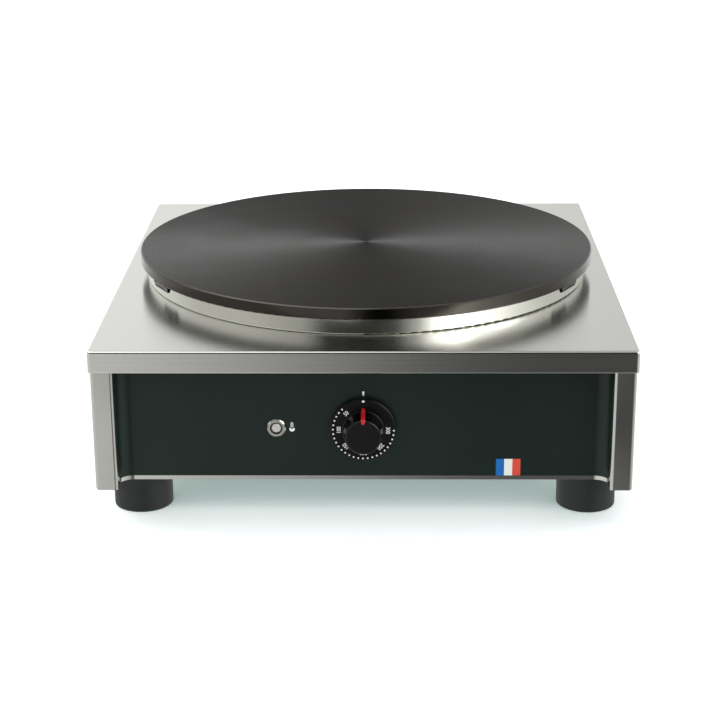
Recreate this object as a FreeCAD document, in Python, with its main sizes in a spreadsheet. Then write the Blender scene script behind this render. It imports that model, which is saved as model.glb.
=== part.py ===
import FreeCAD, Part
import math
import os

import Sketcher
from FreeCAD import Placement, Rotation, Vector

# Electric crepe maker: a cast-iron griddle on a stainless case with one rotary thermostat.
# Frame: millimetres, +Z up, front towards -Y, origin on the table under the middle of the case.

doc = FreeCAD.newDocument("crepe_maker")
sheet = doc.addObject("Spreadsheet::Sheet", "sizes")

SIZES = [
    # Case
    ("coverWidth", 430.0, "top cover, left to right"),
    ("coverDepth", 470.0, "top cover, front to back"),
    ("coverSkirt", 18.0, "height of the cover's turned-down skirt"),
    ("coverCornerRadius", 2.5, "upright corners of the cover"),
    ("coverBendRadius", 1.8, "bend between the cover's top and skirt"),
    ("coverHemRadius", 1.0, "rounded lower edge of the skirt"),
    ("coverOpeningLand", 14.0, "cover between the ring's face and the round opening"),
    ("coverGap", 0.2, "gap between the skirt and the case inside it"),
    ("sheetThickness", 1.2, "stainless sheet of the case"),
    ("sheetBendRadius", 1.3, "inside radius of the case's bends"),
    ("footHeight", 30.0, "case's underside above the table"),
    ("housingHeight", 117.0, "case's underside to the cover's top"),
    ("sideFlangeWidth", 17.8, "side panel's front and rear flanges"),
    ("sideReturnDepth", 10.4, "side panel's inward return behind each flange"),
    ("sideFootFlange", 58.0, "side panel's bottom flange, which stands on the feet"),
    ("sideTopFlange", 15.0, "side panel's top flange, under the cover"),
    ("sideFlangeEndGap", 0.6, "gap from the side's flanges to the end panels' flanges"),
    ("sideTopFlangeSetback", 28.0, "top flange's ends, in from the side panel's ends"),
    ("panelRecess", 23.7, "front panel's face behind the cover's front"),
    ("panelEndRadius", 11.5, "curve at each end of the front and rear panels"),
    ("panelLap", 5.0, "end panel's leg beside the side panel's return"),
    ("panelFlangeWidth", 11.0, "end panel's bottom and top flanges"),
    ("overlayThickness", 0.25, "dark film on the front panel"),
    ("overlayFoot", 3.5, "bare strip below the film"),
    ("overlayTopGap", 0.8, "film's upper edge below the panel's"),
    ("overlayEndGap", 0.1, "film's ends to the side panels' returns"),
    ("overlayDialOpening", 19.0, "radius of the film's hole behind the dial"),
    ("bottomPlateEndGap", 3.0, "bottom plate to the end panels"),
    ("bottomPlateLap", 11.0, "bottom plate's lap on the side panels' flanges"),
    ("bottomScrewInset", 5.5, "bottom plate's screws in from its edge"),
    ("bottomScrewSpacing", 240.0, "bottom plate's side screws, front to back"),
    ("bottomSlotLength", 36.0, "air slots in the bottom plate"),
    ("bottomSlotWidth", 5.0, "air slots in the bottom plate"),
    ("bottomSlotPitch", 22.0, "air slots, front to back"),
    ("bottomSlotRowPitch", 52.0, "air slots, left to right"),
    ("bracketReach", 44.0, "corner bracket's legs"),
    ("bracketHeight", 100.0, "corner bracket's height"),
    ("bracketThickness", 1.5, "corner bracket's sheet"),
    # Screws
    ("screwRadius", 1.75, "case screws"),
    ("screwHeadRadius", 3.6, "case screws' heads"),
    ("screwHeadHeight", 2.2, "case screws' heads"),
    ("screwLength", 8.0, "case screws below the head"),
    ("holeClearance", 0.25, "screw holes' radial clearance"),
    # Rear panel
    ("rearScrewInset", 17.0, "rear screws in from the panel's flat ends"),
    ("rearScrewLow", 50.0, "lower rear screws above the table"),
    ("rearScrewHigh", 118.0, "upper rear screws above the table"),
    ("ventSlotLength", 46.0, "upright air slots in the rear panel"),
    ("ventSlotWidth", 4.0, "upright air slots in the rear panel"),
    ("ventSlotPitch", 12.0, "upright air slots in the rear panel"),
    ("ventHeight", 92.0, "middle of the rear air slots above the table"),
    # Cover studs
    ("coverStudRadius", 2.5, "cover's weld studs"),
    ("coverStudLength", 13.0, "cover's weld studs"),
    ("coverStudInset", 8.0, "cover's studs in from the side panel's inner face"),
    ("coverStudSpacing", 320.0, "cover's studs, front to back"),
    ("coverNutFlats", 8.0, "cover's nuts across flats"),
    ("coverNutHeight", 4.0, "cover's nuts"),
    # Ring collar
    ("ringMargin", 21.0, "ring collar's face in from the cover's sides, at least"),
    ("ringEndMargin", 41.0, "ring collar's face in from the cover's ends, at least"),
    ("ringSheet", 1.0, "ring collar's sheet"),
    ("ringHeight", 12.8, "ring collar above the cover"),
    ("ringBendRadius", 0.6, "inside radius of the ring's foot bend"),
    ("rivetInset", 7.0, "ring's rivets in from its face"),
    ("rivetRadius", 1.6, "rivet shanks"),
    ("rivetHeadRadius", 3.3, "rivet heads"),
    ("rivetHeadHeight", 1.3, "rivet heads"),
    ("ringRivetCount", 6, "rivets in the ring"),
    # Griddle plate
    ("plateOverhang", 6.0, "griddle plate past the ring"),
    ("plateRise", 24.0, "griddle's top above the cover"),
    ("plateRim", 10.0, "griddle's thickness at the rim"),
    ("plateCore", 15.0, "griddle's thickness inside the ring"),
    ("plateCoreGap", 5.0, "gap from the ring to the thick middle of the griddle"),
    ("plateCoreDraft", 2.0, "sloped edge of the thick middle"),
    ("plateTopChamfer", 0.8, "griddle's upper edge"),
    ("plateRimFillet", 1.2, "griddle's lower edge"),
    ("lugWidth", 28.0, "centring lugs"),
    ("lugDepth", 4.0, "centring lugs, inwards from the rim"),
    ("lugInset", 0.7, "centring lugs' outer face in from the rim"),
    ("lugHeight", 4.5, "centring lugs"),
    ("lugDraft", 14.0, "centring lugs' draft in degrees"),
    ("lugCount", 3, "centring lugs"),
    # Griddle support
    ("boltRadius", 3.0, "griddle's bolts and clamp studs"),
    ("boltClearance", 0.15, "griddle's bolts in their holes"),
    ("boltHeadRadius", 5.0, "griddle bolts' heads"),
    ("boltHeadHeight", 4.0, "griddle bolts' heads"),
    ("boltHoleDepth", 10.0, "blind holes in the griddle's underside"),
    ("postOutset", 5.0, "spacer posts past the inner loop, to the left and right"),
    ("postInset", 25.0, "spacer posts inside the inner loop's front and rear"),
    ("postRadius", 7.0, "spacer posts"),
    ("postLength", 21.0, "spacer posts, pan to griddle"),
    ("panSheet", 1.0, "reflector pan"),
    ("panRimGap", 3.5, "reflector pan's rim in the cover's opening"),
    ("panFlare", 5.5, "reflector pan's rim past its floor"),
    ("panDepth", 12.0, "reflector pan"),
    ("padThickness", 9.0, "insulation pad"),
    ("padEdgeGap", 3.0, "insulation pad in the reflector pan"),
    ("padHoleClearance", 1.5, "holes in the pan and pad, round what passes through"),
    ("barWidth", 25.0, "support bars"),
    ("barHeight", 15.0, "support bars"),
    ("barWall", 1.5, "support bars"),
    ("barEndGap", 0.4, "support bars' ends to the side panels"),
    ("railWidth", 26.0, "rails' ledge"),
    ("railHeight", 22.0, "rails' upright leg"),
    ("railThickness", 2.0, "rails"),
    ("railLength", 190.0, "rails, front to back"),
    ("barRivetInset", 10.0, "bar rivets in from the rail's edge"),
    # Heating elements
    ("elementRadius", 4.25, "heating elements' sheath"),
    ("outerCoilInset", 18.0, "outer element's loop in from the pad's edge"),
    ("outerCoilOpening", 9.2, "outer loop's opening, half of it in degrees"),
    ("coilSpacing", 55.0, "inner element's loop to the outer one"),
    ("innerCoilOpening", 14.6, "inner loop's opening, half of it in degrees"),
    ("elementBendRadius", 12.0, "bend from a loop to its leg"),
    ("elementLegLength", 34.0, "straight legs below the bend"),
    ("terminalPinRadius", 2.0, "terminal pins"),
    ("terminalPinLength", 10.0, "terminal pins"),
    ("clampReach", 11.0, "clamp bars past the middle of each loop"),
    ("clampWidth", 20.0, "clamp bars"),
    ("clampThickness", 3.0, "clamp bars"),
    ("clampStudDepth", 9.0, "clamp studs in the griddle"),
    ("clampStudTail", 7.0, "clamp studs below the bars"),
    ("clampNutFlats", 10.0, "clamp nuts across flats"),
    ("clampNutHeight", 5.0, "clamp nuts"),
    # Sensing
    ("bulbRadius", 3.0, "temperature bulb"),
    ("bulbLength", 80.0, "temperature bulb"),
    ("bulbFrontGap", 40.0, "bulb's front end to the inner loop"),
    ("bulbClipWidth", 14.0, "bulb clip, along the bulb"),
    ("bulbClipSheet", 1.0, "bulb clip"),
    ("bulbClipTab", 11.0, "bulb clip's tab beside the bulb"),
    ("bulbClipOffset", 20.0, "bulb clip behind the bulb's front end"),
    ("bulbScrewRadius", 2.0, "bulb clip's screw"),
    ("bulbScrewHead", 3.5, "bulb clip screw's head radius"),
    ("bulbScrewDepth", 8.0, "bulb clip's screw in the griddle"),
    ("capillaryRadius", 1.0, "capillary tube"),
    ("capillaryBend", 9.0, "capillary tube's bends"),
    ("capillaryDropGap", 6.0, "capillary's drop through the pan to the inner loop"),
    ("capillaryRise", 15.0, "capillary's level run above the thermostat"),
    ("cutoutRadius", 8.0, "thermal cut-out"),
    ("cutoutHeight", 9.0, "thermal cut-out"),
    ("cutoutOutset", 17.0, "thermal cut-out behind the inner loop"),
    # Thermostat and dial
    ("dialHeight", 75.0, "dial's axis above the table"),
    ("thermostatWidth", 36.0, "thermostat body"),
    ("thermostatTall", 42.0, "thermostat body"),
    ("thermostatDepth", 30.0, "thermostat body"),
    ("thermostatFlange", 2.0, "thermostat's mounting plate, thickness"),
    ("thermostatFlangeWidth", 46.0, "thermostat's mounting plate"),
    ("thermostatFlangeTall", 24.0, "thermostat's mounting plate"),
    ("thermostatScrewSpacing", 28.0, "thermostat's screws"),
    ("thermostatScrewRadius", 2.0, "thermostat's screws"),
    ("thermostatScrewHead", 3.5, "thermostat screws' head radius"),
    ("thermostatHeadHeight", 1.8, "thermostat screws' heads"),
    ("thermostatBladeLength", 8.0, "thermostat's terminal blades"),
    ("shaftRadius", 3.0, "thermostat shaft"),
    ("shaftSeat", 12.0, "shaft's length inside the thermostat"),
    ("shaftRunningGap", 0.05, "shaft's radial gap in the thermostat and the grip"),
    ("shaftFlat", 2.2, "shaft's flat from its axis"),
    ("shaftReach", 14.5, "shaft's length inside the grip"),
    ("shaftHole", 5.0, "radius of the panel's hole for the shaft"),
    ("dialStandoff", 4.0, "back of the dial in front of the panel"),
    ("dialRadius", 26.0, "dial disc"),
    ("dialThickness", 2.0, "dial disc"),
    ("dialEdgeChamfer", 1.1, "dial disc's front edge"),
    ("gripHubRadius", 9.0, "grip's hub through the dial"),
    ("gripHubLength", 4.0, "grip's hub behind the dial's face"),
    ("gripHubGap", 0.05, "grip's hub in the dial"),
    ("gripBaseRadius", 17.0, "grip's base rim"),
    ("gripRimHeight", 1.8, "grip's base rim"),
    ("gripRimFillet", 0.6, "grip's base rim edge"),
    ("gripFootRadius", 16.2, "grip's cone at the rim"),
    ("gripFaceRadius", 14.2, "grip's cone at the face"),
    ("gripLength", 17.2, "grip in front of the dial"),
    ("gripFaceFillet", 1.2, "grip's front edge"),
    ("pointerWidth", 4.3, "red pointer"),
    ("pointerThickness", 2.2, "red pointer"),
    ("pointerFootRadius", 17.45, "pointer's outer face above the axis at the dial"),
    ("pointerTilt", 9.5, "pointer's slope in degrees"),
    ("pointerEndGap", 0.4, "pointer's ends from the dial and the grip's face"),
    # Pilot lamp
    ("pilotOffset", 69.7, "pilot lamp to the left of the middle"),
    ("pilotHeight", 75.0, "pilot lamp above the table"),
    ("pilotFlangeRadius", 7.6, "pilot bezel"),
    ("pilotFlangeHeight", 2.0, "pilot bezel in front of the film"),
    ("pilotBevel", 0.8, "pilot bezel's outer bevel"),
    ("pilotWellRadius", 5.1, "pilot bezel's well"),
    ("pilotWellDepth", 1.4, "pilot bezel's well"),
    ("pilotBarrelRadius", 4.9, "pilot bezel's threaded barrel"),
    ("pilotBarrelLength", 14.0, "pilot bezel's threaded barrel"),
    ("pilotHoleGap", 0.2, "pilot's barrel in the panel"),
    ("pilotLensRadius", 3.9, "pilot lens"),
    ("pilotLensGap", 0.05, "pilot lens in its barrel"),
    ("pilotLensSeat", 5.0, "pilot lens behind the film"),
    ("pilotLensDome", 1.5, "pilot lens's domed front"),
    ("pilotBodyLength", 24.0, "lamp body behind the lens"),
    ("pilotNutFlats", 13.0, "pilot nut across flats"),
    ("pilotNutHeight", 3.0, "pilot nut"),
    # Supply
    ("glandInset", 95.0, "cable gland in from the cover's left side"),
    ("glandHeight", 56.0, "cable gland above the table"),
    ("glandBoreRadius", 4.5, "cable gland's bore"),
    ("glandBarrelRadius", 10.0, "cable gland's threaded barrel"),
    ("glandBarrelLength", 11.0, "cable gland's barrel behind its hexagon"),
    ("glandHoleGap", 0.2, "cable gland's barrel in the rear panel"),
    ("glandFlats", 24.0, "cable gland's hexagon across flats"),
    ("glandHexHeight", 5.0, "cable gland's hexagon"),
    ("glandDomeLength", 11.0, "cable gland's domed cap"),
    ("glandDomeFoot", 11.0, "cable gland's cap radius at its foot"),
    ("glandDomeTip", 7.6, "cable gland's cap radius at its tip"),
    ("glandNutHeight", 5.0, "cable gland's lock nut"),
    ("blockLength", 54.0, "terminal block"),
    ("blockWidth", 22.0, "terminal block"),
    ("blockHeight", 18.0, "terminal block"),
    ("blockOffset", 40.0, "terminal block to the right of the gland"),
    ("blockRearGap", 42.0, "terminal block's middle to the rear panel"),
    ("blockWireRadius", 2.0, "terminal block's wire holes"),
    ("blockWirePitch", 16.0, "terminal block's wire holes"),
    ("blockWireHeight", 10.0, "terminal block's wire holes above its base"),
    ("earthOffset", 20.0, "earth stud to the left of the gland"),
    ("earthStudLength", 16.0, "earth stud"),
    ("wireRadius", 1.3, "internal wires"),
    ("wireBend", 6.0, "internal wires' bends"),
    ("wireEndGap", 0.2, "wires' ends to the terminals they meet"),
    ("wireGrip", 8.0, "wires' length inside the terminal block"),
    ("wireRise", 28.0, "neutral wire's climb, behind the outer element's legs"),
    ("wireLoop", 16.0, "neutral wire's level run below the terminals"),
    ("wireJumper", 7.2, "jumpers between the elements, below their terminals"),
    ("wireLaneGap", 30.0, "supply wire's turn behind the thermostat's blades"),
    ("wireEarthReach", 24.0, "earth wire in front of the terminal block"),
    # Feet
    ("footRadius", 24.0, "rubber feet"),
    ("footEdge", 1.5, "rubber feet's edges"),
    ("footInsetX", 33.0, "feet's middles in from the cover's sides"),
    ("footInsetY", 49.0, "feet's middles in from the cover's front and back"),
    ("footBoreRadius", 8.0, "recess for the bolt's head"),
    ("footBoreDepth", 12.0, "recess for the bolt's head"),
    ("footBoltTail", 14.0, "foot bolt above the case's bottom flange"),
]


def fill_sheet():
    """One row for each driving size: its name, its value and what it measures."""
    for row, (alias, number, note) in enumerate(SIZES, start=1):
        sheet.set("A%d" % row, alias)
        sheet.set("B%d" % row, str(number))
        sheet.set("C%d" % row, note)
        sheet.setAlias("B%d" % row, alias)
    doc.recompute()


class Size:
    """A number together with the sheet expression that gives it."""

    def __init__(self, value, text):
        self.value = float(value)
        self.text = text

    def __add__(self, other):
        other = size_of(other)
        return Size(self.value + other.value, "(%s + %s)" % (self.text, other.text))

    def __radd__(self, other):
        return size_of(other) + self

    def __sub__(self, other):
        other = size_of(other)
        return Size(self.value - other.value, "(%s - %s)" % (self.text, other.text))

    def __rsub__(self, other):
        return size_of(other) - self

    def __mul__(self, other):
        other = size_of(other)
        return Size(self.value * other.value, "(%s * %s)" % (self.text, other.text))

    def __rmul__(self, other):
        return size_of(other) * self

    def __truediv__(self, other):
        other = size_of(other)
        return Size(self.value / other.value, "(%s / %s)" % (self.text, other.text))

    def __neg__(self):
        return size_of(-1) * self


def size_of(item):
    """A Size as it is, or a plain number as a Size."""
    if isinstance(item, Size):
        return item
    return Size(item, "(%s)" % repr(float(item)))


def lesser(one, other):
    """The smaller of two sizes."""
    text = "min(%s; %s)" % (one.text, other.text)
    return Size(min(one.value, other.value), text)


def sine(degrees):
    """Sine of an angle in degrees."""
    angle = size_of(degrees)
    return Size(math.sin(math.radians(angle.value)), "sin(%s)" % angle.text)


def cosine(degrees):
    """Cosine of an angle in degrees."""
    angle = size_of(degrees)
    return Size(math.cos(math.radians(angle.value)), "cos(%s)" % angle.text)


class Dimensions:
    """Reads the sheet's sizes by name."""

    def __getattr__(self, alias):
        return Size(getattr(sheet, alias), "sizes." + alias)


fill_sheet()
dim = Dimensions()
parts = []

# Planes and faces that several pieces share

t = dim.sheetThickness
half_width = dim.coverWidth / 2
half_depth = dim.coverDepth / 2
case_floor = dim.footHeight
case_top = dim.footHeight + dim.housingHeight
skirt_foot = case_top - dim.coverSkirt
panel_top = case_top - t - dim.coverGap
side_outer = half_width - t - dim.coverGap
side_inner = side_outer - t
side_end = half_depth - t - dim.coverGap
flange_edge = side_outer - dim.sideFlangeWidth
return_tip = side_end - dim.sideReturnDepth
panel_face = half_depth - dim.panelRecess
panel_back = panel_face - t
leg_face = flange_edge + t
leg_tip = return_tip + dim.panelLap
foot_flange_edge = side_inner - dim.sideFootFlange
plate_top = case_top + dim.plateRise
rim_under = plate_top - dim.plateRim
core_under = plate_top - dim.plateCore
pan_floor = core_under - dim.postLength
pan_under = pan_floor - dim.panSheet
bar_under = pan_under - dim.barHeight
ring_radius = lesser(half_width - dim.ringMargin, half_depth - dim.ringEndMargin)
opening_radius = ring_radius - dim.coverOpeningLand
rivet_circle = ring_radius - dim.rivetInset
plate_radius = ring_radius + dim.plateOverhang
core_radius = ring_radius - dim.ringSheet - dim.plateCoreGap
pan_rim_radius = opening_radius - dim.panRimGap
pan_floor_radius = pan_rim_radius - dim.panFlare
pad_radius = pan_floor_radius - dim.padEdgeGap
outer_coil = pad_radius - dim.outerCoilInset
inner_coil = outer_coil - dim.coilSpacing
post_x = inner_coil + dim.postOutset
post_y = inner_coil - dim.postInset
bulb_front = inner_coil - dim.bulbFrontGap
capillary_drop = inner_coil - dim.capillaryDropGap
cutout_y = inner_coil + dim.cutoutOutset
foot_x = half_width - dim.footInsetX
foot_y = half_depth - dim.footInsetY
gland_x = half_width - dim.glandInset
block_x = gland_x - dim.blockOffset
block_y = panel_back - dim.blockRearGap
earth_x = gland_x + dim.earthOffset
bottom_half_width = foot_flange_edge + dim.bottomPlateLap
bottom_half_depth = panel_back - dim.bottomPlateEndGap
bottom_top = case_floor + 2 * t
element_level = core_under - dim.elementRadius
clamp_top = element_level - dim.elementRadius
clamp_circle = (outer_coil + inner_coil) / 2
dial_back = panel_face + dim.dialStandoff
dial_front = dial_back + dim.dialThickness
film_face = panel_face + dim.overlayThickness
FACING_FRONT = Rotation(Vector(1, 0, 0), 90)
FACING_REAR = Rotation(Vector(1, 0, 0), -90)
CLAMP_ANGLES = (0, 90, 180)
POST_CORNERS = ((1, 1), (-1, 1), (-1, -1), (1, -1))


# Small tools for features, sketches and primitives


def bind(item, prop, size):
    """Drive one property of an object from the sheet."""
    item.setExpression(prop, size_of(size).text)


def keep(item, label):
    """Name a finished sub-part and list it."""
    item.Label = label
    parts.append(item)
    return item


def place(item, x=0, y=0, z=0, turn=None):
    """Turn an object, then drive its position from the sheet."""
    if turn is not None:
        item.Placement = Placement(Vector(), turn)
    for axis, distance in (("x", x), ("y", y), ("z", z)):
        bind(item, "Placement.Base." + axis, distance)
    return item


def new_body(name):
    """An empty body."""
    return doc.addObject("PartDesign::Body", name)


def sketch_on(body, role, name, lift=0):
    """A sketch on one of the body's origin planes, moved along the plane's normal."""
    sketch = body.newObject("Sketcher::SketchObject", name)
    plane = [item for item in body.Origin.OriginFeatures if item.Role == role][0]
    sketch.AttachmentSupport = (plane, [""])
    sketch.MapMode = "FlatFace"
    bind(sketch, "AttachmentOffset.Base.z", lift)
    return sketch


def fix_point(sketch, geometry, point, x, y):
    """Hold one point of a sketch at bound distances from the sketch's origin."""
    for kind, distance in (("DistanceX", x), ("DistanceY", y)):
        size = size_of(distance)
        made = sketch.addConstraint(Sketcher.Constraint(kind, -1, 1, geometry, point, size.value))
        sketch.setExpression("Constraints[%d]" % made, size.text)


def fix_radius(sketch, geometry, radius):
    """Bind the radius of a circle or arc."""
    size = size_of(radius)
    made = sketch.addConstraint(Sketcher.Constraint("Radius", geometry, size.value))
    sketch.setExpression("Constraints[%d]" % made, size.text)


def polygon(sketch, corners):
    """A closed outline of straight lines through the corners."""
    points = [Vector(size_of(x).value, size_of(y).value, 0) for x, y in corners]
    count = len(points)
    first = sketch.GeometryCount
    lines = [Part.LineSegment(points[i], points[(i + 1) % count]) for i in range(count)]
    sketch.addGeometry(lines, False)
    for i in range(count):
        following = first + (i + 1) % count
        sketch.addConstraint(Sketcher.Constraint("Coincident", first + i, 2, following, 1))
    for i, (x, y) in enumerate(corners):
        fix_point(sketch, first + i, 1, x, y)


def rectangle(low_x, high_x, low_y, high_y):
    """The four corners of a rectangle."""
    return [(low_x, low_y), (high_x, low_y), (high_x, high_y), (low_x, high_y)]


def circle(sketch, x, y, radius):
    """A circle at a bound place."""
    centre = Vector(size_of(x).value, size_of(y).value, 0)
    curve = Part.Circle(centre, Vector(0, 0, 1), size_of(radius).value)
    geometry = sketch.addGeometry(curve, False)
    fix_point(sketch, geometry, 3, x, y)
    fix_radius(sketch, geometry, radius)


def slot(sketch, start, end, radius):
    """A round-ended slot between two centres."""
    (x1, y1), (x2, y2) = start, end
    a = Vector(size_of(x1).value, size_of(y1).value, 0)
    b = Vector(size_of(x2).value, size_of(y2).value, 0)
    r = size_of(radius).value
    heading = math.atan2(b.y - a.y, b.x - a.x)
    side = Vector(-math.sin(heading), math.cos(heading), 0) * r
    quarter = math.pi / 2
    start_circle = Part.Circle(a, Vector(0, 0, 1), r)
    end_circle = Part.Circle(b, Vector(0, 0, 1), r)
    cap_a = Part.ArcOfCircle(start_circle, heading + quarter, heading + 3 * quarter)
    cap_b = Part.ArcOfCircle(end_circle, heading - quarter, heading + quarter)
    low = Part.LineSegment(a - side, b - side)
    high = Part.LineSegment(b + side, a + side)
    first = sketch.GeometryCount
    sketch.addGeometry([cap_a, low, cap_b, high], False)
    for one, following in ((0, 1), (1, 2), (2, 3), (3, 0)):
        sketch.addConstraint(Sketcher.Constraint("Tangent", first + one, 2, first + following, 1))
    fix_point(sketch, first, 3, x1, y1)
    fix_point(sketch, first + 2, 3, x2, y2)
    fix_radius(sketch, first, radius)
    fix_radius(sketch, first + 2, radius)


def pad(body, sketch, length, name, down=False, draft=None):
    """Pad a sketch along its normal, or against it."""
    feature = body.newObject("PartDesign::Pad", name)
    feature.Profile = sketch
    feature.Reversed = down
    bind(feature, "Length", length)
    if draft is not None:
        bind(feature, "TaperAngle", -draft)
    doc.recompute()
    return feature


def pocket(body, sketch, depth, name, up=False):
    """Cut a sketch into the body, against the sketch's normal unless up is set."""
    before = body.Shape.Volume
    feature = body.newObject("PartDesign::Pocket", name)
    feature.Profile = sketch
    feature.Reversed = up
    bind(feature, "Length", depth)
    doc.recompute()
    if feature.Shape.Volume >= before:
        raise ValueError(name + " cuts nothing")
    return feature


def drill(body, role, name, lift, holes, depth, up=False):
    """Round holes (x, y, radius) cut from one plane."""
    sketch = sketch_on(body, role, name + "_centres", lift)
    for x, y, radius in holes:
        circle(sketch, x, y, radius)
    return pocket(body, sketch, depth, name, up)


def revolve(body, corners, name):
    """Turn an outline of (radius, height) corners about the body's Z axis."""
    sketch = sketch_on(body, "XZ_Plane", name + "_profile")
    polygon(sketch, corners)
    feature = body.newObject("PartDesign::Revolution", name)
    feature.Profile = sketch
    feature.ReferenceAxis = (sketch, ["V_Axis"])
    feature.Angle = 360
    doc.recompute()
    return feature


def round_edges(body, feature, edges, radius, name, kind="PartDesign::Fillet"):
    """Fillet or chamfer the named edges of a feature."""
    if not edges:
        raise ValueError(name + " finds no edge")
    rounded = body.newObject(kind, name)
    rounded.Base = (feature, edges)
    bind(rounded, "Size" if kind == "PartDesign::Chamfer" else "Radius", radius)
    doc.recompute()
    return rounded


def polar_pattern(body, feature, count, name):
    """Repeat a sketched feature evenly about the body's Z axis."""
    pattern = body.newObject("PartDesign::PolarPattern", name)
    pattern.Originals = [feature]
    pattern.Axis = (feature.Profile[0], ["N_Axis"])
    pattern.Angle = 360
    bind(pattern, "Occurrences", count)
    body.Tip = pattern
    doc.recompute()
    return pattern


def linear_pattern(body, feature, axis, length, count, name):
    """Repeat a sketched feature along its sketch's axis over a whole length."""
    pattern = body.newObject("PartDesign::LinearPattern", name)
    pattern.Originals = [feature]
    pattern.Direction = (feature.Profile[0], [axis])
    bind(pattern, "Length", length)
    pattern.Occurrences = count
    body.Tip = pattern
    doc.recompute()
    return pattern


def near(one, other):
    """Two coordinates that are the same to a thousandth."""
    return abs(one - size_of(other).value) < 1e-3


def upright_edges(feature, spots):
    """Straight upright edges at the given plan positions."""
    names = []
    for number, edge in enumerate(feature.Shape.Edges, start=1):
        ends = [vertex.Point for vertex in edge.Vertexes]
        if len(ends) == 2 and ends[0].distanceToPoint(Vector(ends[0].x, ends[0].y, ends[1].z)) > 1:
            for x, y in spots:
                if all(near(end.x, x) and near(end.y, y) for end in ends):
                    names.append("Edge%d" % number)
    return names


def level_edges(feature, height, radius=None):
    """Edges that lie wholly at one height, or only the circles of one radius there."""
    names = []
    for number, edge in enumerate(feature.Shape.Edges, start=1):
        box = edge.BoundBox
        if not (near(box.ZMin, height) and near(box.ZMax, height)):
            continue
        if radius is not None:
            if not hasattr(edge.Curve, "Radius") or not near(edge.Curve.Radius, radius):
                continue
        names.append("Edge%d" % number)
    return names


def outer_rim(feature, height):
    """Edges round the outside of the flat face at one height."""
    names = []
    for face in feature.Shape.Faces:
        if near(face.BoundBox.ZMin, height) and near(face.BoundBox.ZMax, height):
            rim = face.OuterWire.Edges
            for number, edge in enumerate(feature.Shape.Edges, start=1):
                if any(edge.isSame(other) for other in rim):
                    names.append("Edge%d" % number)
    return names


def corner_waste(sketch, x, y, radius):
    """What is cut away outside a rounded corner whose sides run left and up from (x, y)."""
    centre = Vector((x - radius).value, (y + radius).value, 0)
    full = Part.Circle(centre, Vector(0, 0, 1), size_of(radius).value)
    arc = Part.ArcOfCircle(full, 1.5 * math.pi, 2 * math.pi)
    left = (x - radius, y - radius)
    low = (x + radius, y - radius)
    right = (x + radius, y + radius)
    spots = [Vector(size_of(a).value, size_of(b).value, 0) for a, b in (left, low, right)]
    low_end = centre - Vector(0, size_of(radius).value, 0)
    high_end = centre + Vector(size_of(radius).value, 0, 0)
    lines = [
        Part.LineSegment(high_end, spots[2]),
        Part.LineSegment(spots[2], spots[1]),
        Part.LineSegment(spots[1], spots[0]),
        Part.LineSegment(spots[0], low_end),
    ]
    sketch.addGeometry([arc] + lines, False)
    for one in range(5):
        following = (one + 1) % 5
        sketch.addConstraint(Sketcher.Constraint("Coincident", one, 2, following, 1))
    fix_point(sketch, 0, 3, x - radius, y + radius)
    fix_radius(sketch, 0, radius)
    for line, (a, b) in ((2, right), (3, low), (4, left)):
        fix_point(sketch, line, 1, a, b)
    for kind, point, distance in (("DistanceX", 1, x - radius), ("DistanceY", 2, y + radius)):
        made = sketch.addConstraint(Sketcher.Constraint(kind, -1, 1, 0, point, distance.value))
        sketch.setExpression("Constraints[%d]" % made, distance.text)


def rod(name, base, direction, radius, length):
    """A cylinder from a base point along one of the frame's axes."""
    turns = {
        (0, 0, 1): Rotation(),
        (0, 0, -1): Rotation(Vector(1, 0, 0), 180),
        (0, -1, 0): FACING_FRONT,
        (0, 1, 0): FACING_REAR,
    }
    item = doc.addObject("Part::Cylinder", name)
    bind(item, "Radius", radius)
    bind(item, "Height", length)
    return place(item, *base, turn=turns[direction])


def block(name, low_x, low_y, low_z, length_x, length_y, length_z):
    """A box from its lowest corner."""
    item = doc.addObject("Part::Box", name)
    bind(item, "Length", length_x)
    bind(item, "Width", length_y)
    bind(item, "Height", length_z)
    return place(item, low_x, low_y, low_z)


def fuse(name, items):
    """One solid of several."""
    item = doc.addObject("Part::MultiFuse", name)
    item.Shapes = items
    return item


def cut(name, base, tool):
    """A solid less a tool."""
    item = doc.addObject("Part::Cut", name)
    item.Base = base
    item.Tool = tool
    return item


def group(name, items):
    """Separate solids kept in one node."""
    item = doc.addObject("Part::Compound", name)
    item.Links = items
    return item


def mirrored(source, label, normal):
    """The mirror image of a sub-part through the frame's origin."""
    item = doc.addObject("Part::Mirroring", label)
    item.Source = source
    item.Normal = normal
    item.Base = Vector()
    return keep(item, label)


def against(direction):
    """The opposite direction."""
    return tuple(-step for step in direction)


def screw(name, seat, direction, head_radius, head_height, radius, length):
    """A cheese-head screw: its head rises from the seat along the direction."""
    head = rod(name + "_head", seat, direction, head_radius, head_height)
    shank = rod(name + "_shank", seat, against(direction), radius, length)
    return fuse(name, [head, shank])


def case_screw(name, seat, direction):
    """One of the case's small screws."""
    sizes = (dim.screwHeadRadius, dim.screwHeadHeight, dim.screwRadius, dim.screwLength)
    return screw(name, seat, direction, *sizes)


def hex_nut(name, base, direction, flats, height, bore):
    """A hexagon nut from its base along the direction."""
    outer = doc.addObject("Part::Prism", name + "_hexagon")
    outer.Polygon = 6
    bind(outer, "Circumradius", flats / 2 / cosine(30))
    bind(outer, "Height", height)
    hole = rod(name + "_thread", base, direction, bore, height)
    place(outer, *base, turn=hole.Placement.Rotation)
    return cut(name, outer, hole)


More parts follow.
